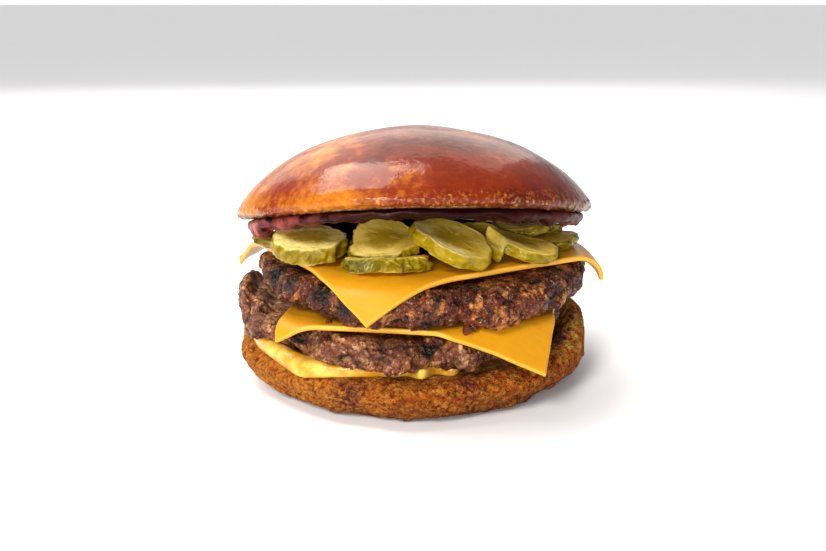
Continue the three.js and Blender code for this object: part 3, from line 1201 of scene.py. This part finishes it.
@dataclass
class CheeseSlice:
    """A square slice laid on a patty, its corners folded down over the patty's edge."""

    piece: str
    node: str
    patty: Patty
    side: float
    centre: tuple[float, float]
    turn: float
    folds: tuple[Fold, ...]
    seed: int
    thickness: float = 2.4
    gap: float = 0.4
    steps: int = 116
    rounding: float = 0.55
    taper: float = 0.8

    def _line(self) -> Array:
        """Steps across the slice.

        Returns:
            Their distance from the middle, closer together at the edges.
        """
        ends = np.array([0, 0.06, 0.16, 0.32, 0.55, 0.9, 1.5])
        middle = np.linspace(2.2, self.side - 2.2, self.steps)
        return np.concatenate([ends, middle, self.side - ends[::-1]]) - self.side / 2

    def laid(self, x: Array, y: Array, z: Array) -> Array:
        """Where a place of the flat slice ends up once it is draped.

        Args:
            x: place across the slice, from the middle of the patty.
            y: place along the slice, from the middle of the patty.
            z: height over the underside of the slice.

        Returns:
            The places, with x, y and z last.
        """
        cx, cy = self.patty.centre
        at_x, at_y, at_z = x + cx, y + cy, z + self.gap
        start_x, start_y = at_x, at_y
        for fold in self.folds:
            out_x, out_y = math.cos(math.radians(fold.side)), math.sin(math.radians(fold.side))
            along = x * out_x + y * out_y
            across = y * out_x - x * out_y
            laid = along + fold.curve * across**2 / (2 * self.patty.radius)
            over = np.where(along > 0, np.maximum(0, laid - fold.start), 0)
            bend = np.minimum(math.radians(fold.angle), over / fold.radius)
            hang = over - bend * fold.radius
            move = fold.radius * np.sin(bend) + hang * np.cos(bend) + z * np.sin(bend) - over
            at_x = at_x + move * out_x
            at_y = at_y + move * out_y
            at_z = at_z - fold.radius * (1 - np.cos(bend)) - hang * np.sin(bend) - z * (1 - np.cos(bend))
            start_x = start_x - over * out_x
            start_y = start_y - over * out_y
        return np.stack([at_x, at_y, at_z + self.patty.top(start_x, start_y)], axis=-1)

    def build(self, finish: bpy.types.Material) -> bpy.types.Object:
        """Builds the slice, with softened edges that are not quite straight.

        Args:
            finish: its material.

        Returns:
            The piece.
        """
        line = self._line()
        u, v = np.meshgrid(line, line, indexing="ij")
        half = self.side / 2
        edge = np.minimum(half - np.abs(u), half - np.abs(v))
        grain = Grain(self.seed)
        flat = np.stack([u, v, 0 * u], axis=-1)
        wander = 0.35 * grain.waves(flat, 14, 2)
        u = u + wander * smooth(6, 0, half - np.abs(u)) * np.sign(u)
        v = v + wander * smooth(6, 0, half - np.abs(v)) * np.sign(v)
        inset = np.clip(self.rounding - edge, 0, self.rounding)
        rounded = np.sqrt(np.maximum(0, self.rounding**2 - inset**2))
        swell = 0.10 * grain.waves(flat + 40, 5, 2) + 0.22 * grain.waves(flat + 60, 17, 1)
        high = self.thickness - self.rounding + rounded + swell * smooth(0, 3, edge)
        low = self.rounding - rounded + self.taper * smooth(4, 0, edge)
        turn = math.radians(self.turn)
        cx, cy = self.patty.centre
        x = u * math.cos(turn) - v * math.sin(turn) + self.centre[0] - cx
        y = u * math.sin(turn) + v * math.cos(turn) + self.centre[1] - cy
        upper = self.laid(x, y, high)
        lower = self.laid(x, y, low)
        skin = self._skin(upper, lower, smooth(0.5, 0.05, edge))
        return skin.build(self.piece, [finish], [self.node], "cheese")

    def _skin(self, upper: Array, lower: Array, rim: Array) -> Skin:
        """Joins the two faces of the slice along their edges.

        Args:
            upper: places of the upper face.
            lower: places of the lower face.
            rim: 1 at the cut edge of the slice, 0 away from it.

        Returns:
            The closed skin.
        """
        n = upper.shape[0]
        top = np.arange(n * n).reshape(n, n)
        under = top + n * n
        rims = (
            (top[0], under[0]),
            (top[:, -1], under[:, -1]),
            (top[-1, ::-1], under[-1, ::-1]),
            (top[::-1, 0], under[::-1, 0]),
        )
        quads = [faces_of(top), faces_of(under.T)]
        quads += [faces_of(np.stack(rim, axis=1)) for rim in rims]
        places = np.vstack([upper.reshape(-1, 3), lower.reshape(-1, 3)])
        edge = np.concatenate([rim.ravel(), rim.ravel()])
        # The edge mark lightens the cut edges in the finish, as a painted highlight.
        return Skin(places, np.vstack(quads).tolist(), {"edge": edge * 0.5})


@dataclass
class PressedSauce:
    """Red sauce that the back of the crown presses flat on the upper slice of cheese, made dark and matt as
    painted shade for the gap under the crown.
    """

    cheese: CheeseSlice
    centre: tuple[float, float] = (0, 15)
    reach: tuple[float, float] = (36, 36)
    squareness: float = 1.4
    thickness: float = 0.9
    sunk: float = 0.3
    columns: int = 220
    waves: Waves = ((5, 0, 0.8), (9, 0, 0.7), (17, 0, 0.5))

    def build(self, finish: bpy.types.Material) -> bpy.types.Object:
        """Builds the thin spread, which follows the slice and thins out to its edge.

        Args:
            finish: its material.

        Returns:
            The piece.
        """
        share = np.concatenate([np.linspace(0, 1, 16), np.linspace(1, 0, 16)[1:]])
        above = np.concatenate([np.zeros(16), np.ones(15)])[:, None]
        angle = round_about(self.columns)
        corner = np.abs(np.cos(angle) / self.reach[0]) ** self.squareness
        corner = corner + np.abs(np.sin(angle) / self.reach[1]) ** self.squareness
        reach = corner ** (-1 / self.squareness) + relief(angle, 0 * angle, self.waves, 3)
        x = self.centre[0] + share[:, None] * reach * np.cos(angle)
        y = self.centre[1] + share[:, None] * reach * np.sin(angle)
        lumps = 1 + 0.4 * Grain(31).waves(np.stack([x, y, 0 * x], axis=-1), 6, 2)
        rise = above * (self.thickness + self.sunk) * smooth(1, 0.85, share)[:, None] * lumps
        cx, cy = self.cheese.patty.centre
        places = self.cheese.laid(x - cx, y - cy, self.cheese.thickness - self.sunk + rise)
        marks = {"spotted": 0.5 + 0 * x, "mixed": 0.3 + 0 * x}
        return Skin.of_rings(places, marks).build("red_sauce_pressed", [finish], [], "red_sauce")


@dataclass
class Gherkin:
    """A slice of pickled gherkin, leaning where it came to rest.

    lean is the side that its face looks to and tilt how far it looks that way, both in degrees.
    """

    name: str
    at: tuple[float, float, float]
    size: tuple[float, float]
    thickness: float
    tilt: float
    lean: float
    under: tuple[str, ...] = ()
    cream: float = 0.25
    blond: float = 0.3
    warts: float = 0.6
    curl: float = 0.9
    crescent: float = 0.3
    crescent_side: float = -110
    green: float = 0.25
    green_side: float = 190
    notches: Waves = ()
    columns: int = 144
    skin_waves: Waves = ((2, 0, 0.04), (3, 0, 0.035), (5, 0, 0.03), (9, 0, 0.02))
    margin: float = 1.2
    clearance: float = 0.5
    most_pressed: float = 4.0

    def _frame(self) -> Array:
        """Directions of the slice's own axes.

        Returns:
            Two along its face and one out of it, as columns.
        """
        lean, tilt = math.radians(self.lean), math.radians(self.tilt)
        axis = np.array([-math.sin(lean), math.cos(lean), 0])
        cross = np.array([[0, -axis[2], axis[1]], [axis[2], 0, -axis[0]], [-axis[1], axis[0], 0]])
        return np.eye(3) + math.sin(tilt) * cross + (1 - math.cos(tilt)) * cross @ cross

    def grid(self, seed: int) -> tuple[Array, dict[str, Array]]:
        """Rings of the slice in place, and what its finish reads.

        Args:
            seed: shifts its waves, seeds and warts.

        Returns:
            The places and the marks.
        """
        half = self.thickness / 2
        turn = np.linspace(0, math.pi, 13)
        inner = np.concatenate([[0], np.linspace(0.04, 0.87, 22)])
        share = np.concatenate([inner, 0.88 + 0.12 * np.sin(turn) ** 0.7, inner[::-1]])
        level = np.concatenate([0 * inner - 1, -np.cos(turn), 0 * inner + 1])
        side = np.concatenate([0 * inner, np.sin(turn), 0 * inner])[:, None]
        angle = round_about(self.columns)
        grain = Grain(100 + seed)
        grow = 1 + relief(angle, 0 * angle, self.skin_waves, seed)
        grow = grow - sum(bump(angle, *n) for n in self.notches)
        flat = disc(share, np.ones(self.columns), angle)
        flat[..., 2] = level[:, None]
        wart = grain.waves(flat * (4.2, 4.2, 1.0) + 5, 1.0, 3)
        mean = sum(self.size) / 2
        reach = share[:, None] * grow + self.warts / mean * wart * smooth(0.8, 1, share)[:, None]
        theta = angle + 0.25 * grain.waves(flat * 2.2, 1.0, 1)
        lobed = share[:, None] * (1 + 0.13 * np.cos(3 * theta + seed))
        core = smooth(0.66, 0.36, lobed)
        seed_mark = self._seeds(reach, angle, seed)
        body = 0.02 * mean / 10 * grain.waves(flat * 3 + 9, 1.0, 3)
        sunk = -0.16 * core + 0.2 * seed_mark + body + 0.22 * smooth(0.8, 0.93, share)[:, None]
        z = level[:, None] * half + np.sign(level)[:, None] * sunk * (1 - side)
        warp = self.curl * (share[:, None] ** 2) * np.cos(2 * angle + seed)
        warp = warp + 0.7 * grain.waves(flat * (1, 1, 0) + 20, 1.3, 1)
        across, along = reach * np.cos(angle) * self.size[0], reach * np.sin(angle) * self.size[1]
        local = np.stack([across, along, z + warp], axis=-1)
        streaks = 1.4 * grain.waves(flat * (1.2, 3, 1) + 60, 1.0, 1)
        # Painted light: a pale crescent on the side of the face toward the lamps.
        crescent = self.crescent * facing(angle, self.crescent_side, 1.5)
        crescent = crescent * smooth(0.32, 0.62, share)[:, None]
        marks = {
            "skin": np.broadcast_to(np.maximum(side, smooth(0.90, 0.97, share)[:, None]), z.shape),
            "core": core * (1 - side),
            "seed": seed_mark * (1 - side),
            "cream": np.clip(self.cream * (1 + streaks) + crescent + 0 * z, 0, 1),
            "green": np.clip(self.green * facing(angle, self.green_side, 1.5) * 1.5 + 0 * z, 0, 1),
            "blond": np.full(z.shape, self.blond),
        }
        return local @ self._frame().T + np.array(self.at), marks

    @staticmethod
    def _seeds(reach: Array, angle: Array, seed: int) -> Array:
        """Where the flat seeds show on the face: three fans of them round the middle.

        Args:
            reach: share of the radius at each place.
            angle: angle round the middle, in radians.
            seed: seed of the places of the seeds.

        Returns:
            How much of a seed shows at each place, from 0 to 1.
        """
        x, y = reach * np.cos(angle), reach * np.sin(angle)
        rng = np.random.default_rng(40 + seed)
        mark = np.zeros(reach.shape)
        for fan in range(3):
            for i in range(5):
                a = (fan + 0.5) * 2 * math.pi / 3 - seed / 3 + (i - 2) * 0.30 + rng.normal(0, 0.12)
                r = 0.38 + rng.normal(0, 0.09)
                dx, dy = x - r * math.cos(a), y - r * math.sin(a)
                along = dx * math.cos(a) + dy * math.sin(a)
                across = dy * math.cos(a) - dx * math.sin(a)
                shown = rng.random() * 0.45
                mark = np.maximum(mark, shown * smooth(1.2, 0.6, np.hypot(along / 0.12, across / 0.05)))
        return mark

    def press(self, grid: Array, other: "Gherkin") -> Array:
        """Pushes the places of this slice down to where they clear a slice that lies on it.

        Args:
            grid: places of this slice.
            other: the slice on top.

        Returns:
            The places, moved.
        """
        axes = other._frame()
        local = (grid - np.array(other.at)) @ axes
        wide, deep = (half + self.margin for half in other.size)
        covered = smooth(1.12, 0.98, np.hypot(local[..., 0] / wide, local[..., 1] / deep))
        underside = -other.thickness / 2 - self.clearance
        over = np.maximum(0, local[..., 2] - underside) * covered
        lower_face = (np.arange(grid.shape[0]) < grid.shape[0] / 2)[:, None]
        drop = over + np.where(lower_face, self.clearance, 0.0) * covered * (over > 0)
        drop = np.minimum(drop, self.most_pressed)
        return grid - np.array([0, 0, 1.0]) * drop[..., None]


@dataclass
class Lid:
    """The top bun and the red sauce under it, propped up at the front by the gherkins.

    Both are built in the lid's own frame, where the cut face lies at height 0.
    """

    height: float = 49.4
    shift: float = 0.3
    tilt: float = 11.3
    roll: float = 1.4
    bend: float = 0.0009

    def placed(self, grid: Array) -> Array:
        """Places of the lid's frame, in the burger's."""
        return grid @ self._turn().T + np.array([self.shift, 0, self.height])

    def _turn(self) -> Array:
        """The lid's turn.

        Returns:
            The matrix that turns it first about the depth, then about the width.
        """
        a, b = math.radians(-self.tilt), math.radians(-self.roll)
        about_x = np.array([[1, 0, 0], [0, math.cos(a), -math.sin(a)], [0, math.sin(a), math.cos(a)]])
        about_y = np.array([[math.cos(b), 0, math.sin(b)], [0, 1, 0], [-math.sin(b), 0, math.cos(b)]])
        return about_x @ about_y


@dataclass
class TopBun:
    """The crown of the bun: a low dome with a dimpled glaze and a thin, blistered rim.

    ring_height is where a browner ring runs round its front.
    """

    lid: Lid
    columns: int = 520
    ring_height: float = 19
    profile: tuple[tuple[float, float], ...] = (
        (55.2, 2.2),
        (53.8, 5),
        (51, 8.6),
        (46.6, 12.8),
        (40.6, 17.2),
        (34, 20.9),
        (26, 24),
        (17.6, 26.2),
        (9, 27.6),
        (0, 28.2),
    )
    waves: Waves = ((2, 0, 0.4), (3, 0.02, 0.4), (7, 0.05, 0.2))

    def build(self, glaze: bpy.types.Material, crumb: bpy.types.Material) -> bpy.types.Object:
        """Builds the crown.

        Args:
            glaze: finish of the crust.
            crumb: finish of the cut face.

        Returns:
            The piece.
        """
        face = [(r, 0) for r in (0, 16, 30, 38, 43, 46, 48, 49.2, 50.2)]
        lip = curve_through([(50.5, 0), (53.4, 0.2), (54.9, 0.9), (55.2, 2.2)], 0.35)[:-1]
        dome = curve_through(self.profile, 0.85)
        profile = np.vstack([face, lip, dome])
        grid, angle = turned(profile, self.columns)
        radius, height = np.hypot(grid[..., 0], grid[..., 1]), grid[..., 2]
        grow = 1 + smooth(20, 50, radius) * relief(angle, height, self.waves, 2) / 56
        grid[..., 0] *= grow
        grid[..., 1] *= grow
        grid[..., 2] += self.lid.bend * grid[..., 1] ** 2
        rows = len(profile)
        crust = (np.arange(rows) >= len(face) + 3)[:, None]
        grain = Grain(11)
        rim = smooth(7.5, 1.0, height)
        dents = grain.waves(grid, 30, 2)
        leather = grain.waves(grid, 5, 3)
        blister, _, _ = grain.cells(grain.shifted(grid, 3, 0.6), 1.9)
        bubbles = smooth(0.55, 0.1, blister)
        push = 0.38 * dents + 0.03 * leather + crust * rim * (0.5 * bubbles - 0.15)
        open_crumb, _, _ = grain.cells(grid + 70, 2.6)
        push = np.where(crust, push, -0.4 * smooth(0.4, 0.1, open_crumb) + 0.15 * leather)
        push = push * smooth(20, 40, radius + 40 * crust)
        grid = grid + outward(grid) * push[..., None]
        crown = smooth(3, 15, height)
        patches = 0.18 * dents + 0.24 * grain.waves(grid + 50, 20, 3)
        wander = 5 * grain.waves(grid + 80, 16, 3)
        ring = np.exp(-(((height - self.ring_height - wander) / 2) ** 2)) * facing(angle, -80, 0.6)
        burnt = facing(angle, Side.RIGHT, 7) * smooth(7, 1.5, height) * (0.7 + 0.6 * leather)
        # Painted light, partly: the crust is coloured lighter on the left, where the lamps fall, and darker to
        # the right front, where it lies in shade; it is also a little darker at the back and the front.
        by_side = 0.34 * facing(angle, -15, 1.2) - 0.32 * facing(angle, 190, 1.2)
        by_side = by_side + 0.15 * facing(angle, Side.BACK, 1) + 0.12 * facing(angle, -80, 1)
        scorch = crust * (0.7 * smooth(1.8, 0.8, height) + burnt)
        scorch = scorch + ~crust * 0.9 * smooth(44, 49, radius)
        bake = 0.34 + 0.10 * crown + by_side * smooth(4, 40, radius) + patches + 0.30 * ring
        marks = {
            "bake": np.clip(bake, 0, 1),
            "scorch": np.clip(scorch, 0, 1),
            "blister": np.clip(np.sqrt(rim) * (0.5 + bubbles), 0, 1),
            # Holes of the open crumb, painted darker as shade.
            "pit": smooth(0.4, 0.1, open_crumb) * 0.5,
            "raised": np.clip(leather, 0, 1),
            "stain": 0 * height,
            "wine": 0 * height,
        }
        slots = (np.arange(rows - 1) < len(face) + 3).astype(int)
        skin = Skin.of_rings(self.lid.placed(grid), marks, slots)
        return skin.build("top_bun_baked", [glaze, crumb], ["top_bun"], "bun_crown")


@dataclass
class RedSauce:
    """Red sauce on the cut face of the crown, squeezed out into an uneven bead round it."""

    lid: Lid
    radius: float = 52.8
    thin: float = 0.8
    bead: float = 2.6
    bead_from: float = 0.86
    bead_to: float = 0.91
    thinning: float = 0.9
    swells: Waves = ((-164, 1.7, 26), (-14, 0.6, 20), (-42, 1.3, 14))
    drawn_in: tuple[float, float, float] = (-88, 3.0, 34)
    gap: float = 0.4
    columns: int = 420
    waves: Waves = ((3, 0, 0.6), (7, 0, 0.5), (12, 0, 0.4))

    def build(self, finish: bpy.types.Material) -> bpy.types.Object:
        """Builds the spread and its bead.

        Args:
            finish: its material.

        Returns:
            The piece.
        """
        turn = np.linspace(0, math.pi, 11)
        inner = np.array([0, 0.3, 0.6, 0.78])
        near = np.linspace(0.84, 0.955, 12)
        share = np.concatenate([inner, near, 0.96 + 0.04 * np.sin(turn), near[::-1], inner[::-1]])
        flat = 0 * np.concatenate([inner, near])
        level = np.concatenate([flat - 1, -0.5 - 0.5 * np.cos(turn), flat])
        angle = round_about(self.columns)
        reach = self.radius + relief(angle, 0 * angle, self.waves, 8) - bump(angle, *self.drawn_in)
        grid = disc(share, reach, angle)
        edge = smooth(self.bead_from, self.bead_to, share)[:, None]
        bead = edge * (1 - self.thinning * facing(angle, Side.BACK, 1))
        swell = sum(bump(angle, *spot) for spot in self.swells)
        grain = Grain(8)
        lumps = 1 + 0.75 * grain.waves(grid, 6.5, 2) * edge
        thickness = self.thin + (self.bead + swell - self.thin) * bead * lumps
        base = self.lid.bend * grid[..., 1] ** 2 - self.gap * (1 - 0.8 * edge)
        grid[..., 2] = base + level[:, None] * thickness
        # Painted reflection: the bead is tinted pale mauve toward its left and right ends, as if it mirrored
        # the white surroundings. Painted shade: it is darkened toward the front middle, where the crown's rim
        # shades it, and in blots elsewhere.
        creamy = facing(angle, 190, 4) + 0.6 * facing(angle, 5, 4)
        dark = np.clip(facing(angle, -75, 0.5) + grain.waves(grid + 30, 20, 1), 0, 1)
        creamy = np.clip(creamy + 0 * dark, 0, 1)
        marks = {"spotted": dark * (1 - 0.8 * creamy), "mixed": creamy}
        skin = Skin.of_rings(self.lid.placed(grid), marks)
        return skin.build("red_sauce_spread", [finish], ["red_sauce"], "red_sauce")


@dataclass
class Filling:
    """Patties, cheese and gherkins, from the bottom up."""

    bun: BottomBun
    sauce: YellowSauce

    def lower_patty(self) -> Patty:
        """The patty that lies on the yellow sauce.

        Returns:
            The lower patty.
        """
        rest = self.sauce.thickness + 2 * self.sauce.gap
        return Patty(
            "lower_patty_seared",
            "lower_patty",
            (-4, -1),
            49.6,
            1.7,
            ((-79, 3.4, 4), (-52, 2, 8), (-122, 1.4, 4), (75, 2.5, 5), (20, 2, 5)),
            (
                Lobe(-91, 4.6, 6, 0, 0.3),
                Lobe(-66, 4, 6, 0.1, 0.3),
                Lobe(-105, 1.4, 9, 0.6, 0),
                Lobe(-172, 1, 22, 1, 0),
                Lobe(-135, -2.6, 14, 1, -2.4),
            ),
            lambda x, y: self.bun.cut_face(x, y) + rest,
            lambda x, y: 23.7
            + (3.4 * smooth(43, 48, -x) + 5 * smooth(49, 52.5, -x)) * smooth(36, 12, np.abs(y + 7)),
            chars=((-60, 11, 3), (-80, 20, 2)),
        )

    def upper_patty(self) -> Patty:
        """The patty under the upper slice.

        Returns:
            The upper patty.
        """
        return Patty(
            "upper_patty_seared",
            "upper_patty",
            (3, 0),
            50.8,
            4.1,
            (
                (-76, 3.6, 4),
                (-98, 1.2, 4),
                (-133, 1.8, 4),
                (-30, 1.2, 5),
                (40, 2.6, 5),
                (100, 2.8, 4),
                (150, 2, 5),
            ),
            (Lobe(-90, 1.2, 8, 0.3, 0.6), Lobe(-63, 1.4, 9, 0.4, 1.6), Lobe(-112, 1, 8, 0.5, 0.4)),
            lambda x, y: 27 + 1.8 * smooth(10, 48, -x) * smooth(-60, 0, -y),
            lambda x, y: 38.4
            - 0.2 * smooth(30, 52, x)
            - 1.4 * smooth(15, 45, y)
            + 0.4 * smooth(20, 50, -x),
            chars=(
                (-151, 36, 3.6),
                (-139, 36, 2.4),
                (-125, 35, 3),
                (-116, 32, 2.4),
                (-88, 28, 3),
                (120, 33, 5),
                (30, 31, 4),
            ),
        )

    def slices(self, lower: Patty, upper: Patty) -> tuple[CheeseSlice, CheeseSlice]:
        """The two slices of cheese.

        Args:
            lower: patty under the lower slice.
            upper: patty under the upper slice.

        Returns:
            The lower slice and the upper one.
        """
        low_folds = (
            Fold(-133.8, 46, 4.3, 57.6, 0.3),
            Fold(-68, 46.8, 3.4, 41.2, 0.3),
            Fold(30.9, 50, 8, 22, 0.5),
            Fold(123.5, 47.8, 6, 50, 0.5),
        )
        high_folds = (
            Fold(-101.8, 44.9, 10.4, 47.7, 1.3),
            Fold(-3.4, 46.4, 7.6, 80, -0.4),
            Fold(77, 47, 7, 56, 0.5),
            Fold(160.8, 45.4, 10.5, 35.4, -0.4),
        )
        low = CheeseSlice(
            "lower_cheese_slice", "lower_cheese", lower, 78.5, (5.3, -7.8), -9, low_folds, 21
        )
        high = CheeseSlice(
            "upper_cheese_slice", "upper_cheese", upper, 87, (0.5, 0.5), 32.3, high_folds, 22
        )
        return low, high

    @staticmethod
    def gherkins() -> list[Gherkin]:
        """The gherkin slices.

        Returns:
            The slices, in the order of their solids.
        """
        return [
            Gherkin("pickle_left_end", (-40.4, -3.4, 43.2), (10.2, 9.2), 2, 3, 180, blond=0.0),
            Gherkin(
                "pickle_left",
                (-30, -25.8, 46.1),
                (11, 10.4),
                4.8,
                10,
                -95,
                # Painted light: this face is made pale all over, as the crown shades it from the lamps.
                cream=1.0,
                blond=0.35,
                warts=1.1,
                crescent=0.5,
                green=0,
            ),
            Gherkin(
                "pickle_middle",
                (-8, -28.4, 47.2),
                (10.8, 11),
                3.6,
                18,
                -96,
                ("pickle_face",),
                warts=1.1,
                green=1,
            ),
            Gherkin(
                "pickle_middle_low",
                (-7.6, -37.4, 43.9),
                (11.4, 9),
                4,
                2,
                -90,
                ("pickle_middle",),
                warts=1.6,
                green=1,
                notches=((-97, 0.14, 7), (-140, 0.05, 8)),
            ),
            Gherkin(
                "pickle_face",
                (10.8, -33, 48),
                (12.4, 12),
                3.8,
                21.6,
                -25,
                cream=0.3,
                blond=0.75,
                # Painted light: a strong pale crescent on the side of the face toward the lamps.
                crescent=1.4,
                crescent_side=-130,
                green=0,
            ),
            Gherkin("pickle_behind", (17.5, -15.4, 45.7), (9.6, 8.6), 2.8, 16, -80),
            Gherkin(
                "pickle_right",
                (31.2, -25.4, 46),
                (11.4, 8.4),
                3,
                18,
                -14,
                ("pickle_face", "pickle_right_end"),
            ),
            Gherkin("pickle_right_end", (41, -5.4, 43.2), (10.8, 10.4), 3, 1, 0, blond=0.0),
            Gherkin("pickle_right_top", (35.4, -4.6, 46.5), (10.4, 9.8), 2.6, 2, 80, blond=0.0),
        ]

    def build(self, finishes: Finishes) -> list[bpy.types.Object]:
        """Builds the filling.

        Args:
            finishes: the materials.

        Returns:
            Its pieces.
        """
        lower, upper = self.lower_patty(), self.upper_patty()
        pieces = [lower.build(finishes.beef_pale), upper.build(finishes.beef_dark)]
        slices = self.slices(lower, upper)
        pieces += [cheese.build(finishes.cheese) for cheese in slices]
        # A dark sheet of sauce on the upper slice, painted shade for the gap under the crown.
        pieces.append(PressedSauce(slices[1]).build(finishes.pressed))
        gherkins = {g.name: g for g in self.gherkins()}
        for seed, gherkin in enumerate(gherkins.values()):
            grid, marks = gherkin.grid(seed)
            for name in gherkin.under:
                grid = gherkin.press(grid, gherkins[name])
            skin, name = Skin.of_rings(grid, marks), gherkin.name
            pieces.append(skin.build(f"{name}_slice", [finishes.gherkin], [name], "pickle"))
        return pieces


@dataclass
class Crumbs:
    """Loose bits of browned mince that dropped onto the cheese and the foot of the bun."""

    bun: BottomBun
    on_cheese: tuple[tuple[float, float, float, float], ...] = (
        (15.0, -47.2, 26.9, 1.3),
        (17.2, -46.2, 26.8, 0.9),
        (-24.0, -40.0, 26.7, 0.8),
    )
    on_bun: Waves = (
        (-27, 51.0, 1.3),
        (-33, 50.0, 0.9),
        (-39, 50.5, 1.5),
        (-21, 51.6, 0.8),
        (-12, 51.0, 1.0),
        (64, 51.0, 1.2),
        (140, 51.4, 1.1),
    )

    def build(self, finish: bpy.types.Material) -> bpy.types.Object:
        """Builds all crumbs as one piece.

        Args:
            finish: its material.

        Returns:
            The piece.
        """
        spots = [((x, y, z), size) for x, y, z, size in self.on_cheese]
        for at, radius, size in self.on_bun:
            x, y = radius * math.cos(math.radians(at)), radius * math.sin(math.radians(at))
            spots.append(((x, y, float(self.bun.cut_face(x, y)) + 0.4 * size), size))
        places: list[Array] = []
        faces: list[Sequence[int]] = []
        marks: dict[str, list[Array]] = {"crevice": [], "pale": [], "char": []}
        turn = np.linspace(-math.pi / 2, math.pi / 2, 17)
        ball = np.stack([np.cos(turn), np.sin(turn)], axis=1)
        for seed, (at, size) in enumerate(spots):
            grid, _ = turned(ball, 30)
            grain = Grain(200 + seed)
            swell = 1 + 0.45 * grain.waves(grid, 1.1, 2)
            # Painted shade: each crumb is darker in its hollows, over an even darkening of the whole crumb.
            dark = {"crevice": 0.8 * (1 - swell) + 0.3}
            lump = Skin.of_rings(grid * swell[..., None] * size + np.array(at), dark)
            faces += [[i + sum(map(len, places)) for i in face] for face in lump.faces]
            places.append(lump.places)
            shade = np.clip(lump.marks["crevice"], 0, 1)
            for name, share in (("crevice", 1.0), ("pale", 0.3), ("char", 0.2)):
                marks[name].append(shade * share)
        whole = {name: np.concatenate(parts) for name, parts in marks.items()}
        skin = Skin(np.vstack(places), faces, whole)
        return skin.build("beef_crumbs", [finish], [], "patty")


@dataclass
class Studio:
    """A pale floor, soft light and the camera, at the angle of the photograph."""

    elevation: float = 15.0
    distance: float = 330.0
    target: float = 29.7
    lens: float = 44.67
    floor_colour: str = "#ECF0FA"
    sky_light: float = 0.28
    sun_light: float = 2.7
    lamp_colour: tuple[float, float, float] = (1.0, 0.93, 0.82)
    sun_from: tuple[float, float, float] = (-0.5, -0.95, 0.85)
    sun_width: float = 20.0

    def build(self) -> None:
        """Sets the stage."""
        self._camera()
        self._floor()
        self._sky()
        self._sun()
        self._softbox("window", (-0.25, 0.12, 0.64), 0.46, 0.44, 5.8)
        self._softbox("front", (-0.25, -1.1, 0.22), 0.6, 0.3, 10.0)
        self._softbox("behind", (-0.10, 0.80, 0.62), 1.1, 0.9, 4.8)

    def _camera(self) -> None:
        """The camera, looking a little down on the burger."""
        camera = bpy.data.cameras.new("camera")
        camera.lens = self.lens
        camera.sensor_width = 36
        camera.clip_start = 0.01
        rise = math.radians(self.elevation)
        holder = bpy.data.objects.new("camera", camera)
        away = self.distance * MM
        holder.location = (0, -away * math.cos(rise), self.target * MM + away * math.sin(rise))
        holder.rotation_euler = (math.pi / 2 - rise, 0, 0)
        bpy.context.scene.collection.objects.link(holder)
        bpy.context.scene.camera = holder

    def _floor(self) -> None:
        """A wide matt floor."""
        size = 30.0
        corners = [(-size, -size, 0), (size, -size, 0), (size, size, 0), (-size, size, 0)]
        mesh = bpy.data.meshes.new("floor")
        mesh.from_pydata(corners, [], [(0, 1, 2, 3)])
        recipe = Recipe("matt_paper")
        mesh.materials.append(recipe.finish(Base_Color=linear(self.floor_colour), Roughness=0.9))
        floor = bpy.data.objects.new("floor", mesh)
        bpy.context.scene.collection.objects.link(floor)
        floor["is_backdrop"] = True

    def _sky(self) -> None:
        """Even white light from all round, brightest where the floor ends."""
        world = bpy.data.worlds.new("studio")
        world.use_nodes = True
        tree = world.node_tree
        direction = add_node(tree, "ShaderNodeTexCoord").outputs["Generated"]
        rise = add_node(tree, "ShaderNodeSeparateXYZ", inputs={0: direction}).outputs["Z"]
        fade = {0: rise, 1: 0.03, 2: 0.16, 3: 1.0, 4: self.sky_light}
        settings = {"interpolation_type": "SMOOTHSTEP"}
        light = add_node(tree, "ShaderNodeMapRange", settings, fade).outputs[0]
        tree.links.new(light, tree.nodes["Background"].inputs["Strength"])
        tree.nodes["Background"].inputs["Color"].default_value = (1, 1, 1, 1)
        scene = bpy.context.scene
        scene.world = world
        scene.view_settings.view_transform = "Standard"

    def _hang(self, light: bpy.types.Light, at: tuple[float, float, float], aim: Array) -> None:
        """Hangs up a light.

        Args:
            light: the light.
            at: its place in metres.
            aim: the place that it shines at.
        """
        x, y, z = aim - np.array(at)
        light.color = self.lamp_colour
        holder = bpy.data.objects.new(light.name, light)
        holder.location = at
        holder.rotation_euler = (math.atan2(math.hypot(x, y), -z), 0, math.atan2(y, x) - math.pi / 2)
        bpy.context.scene.collection.objects.link(holder)

    def _sun(self) -> None:
        """The main light, wide and far away, so that it falls evenly on the floor."""
        light = bpy.data.lights.new("sun", "SUN")
        light.energy = self.sun_light
        light.angle = math.radians(self.sun_width)
        self._hang(light, self.sun_from, np.zeros(3))

    def _softbox(
        self, name: str, at: tuple[float, float, float], width: float, depth: float, power: float
    ) -> None:
        """A rectangular light that faces the burger.

        Args:
            name: name of the light.
            at: its place in metres.
            width: its width in metres.
            depth: its other side in metres.
            power: its power in watts.
        """
        light = bpy.data.lights.new(name, "AREA")
        light.shape = "RECTANGLE"
        light.size = width
        light.size_y = depth
        light.energy = power
        self._hang(light, at, np.array([0, 0, self.target * MM]))


def main() -> None:
    """Builds the burger from the bottom up, then the studio."""
    logging.basicConfig(level=logging.INFO, format="%(message)s")
    finishes = Finishes.mixed()
    bun = BottomBun()
    bun.build(finishes.crust, finishes.crumb)
    sauce = YellowSauce(bun)
    sauce.build(finishes.yellow)
    Filling(bun, sauce).build(finishes)
    Crumbs(bun).build(finishes.beef_dark)
    lid = Lid()
    RedSauce(lid).build(finishes.red)
    TopBun(lid).build(finishes.glaze, finishes.crumb)
    Studio().build()
    sizes = {"cad": [list(corner) for corner in CAD_BOX], "scene": [list(corner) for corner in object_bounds()]}
    for name, box in sizes.items():
        LOG.info("%s box: %s", name, box)


if __name__ == "__main__":
    main()
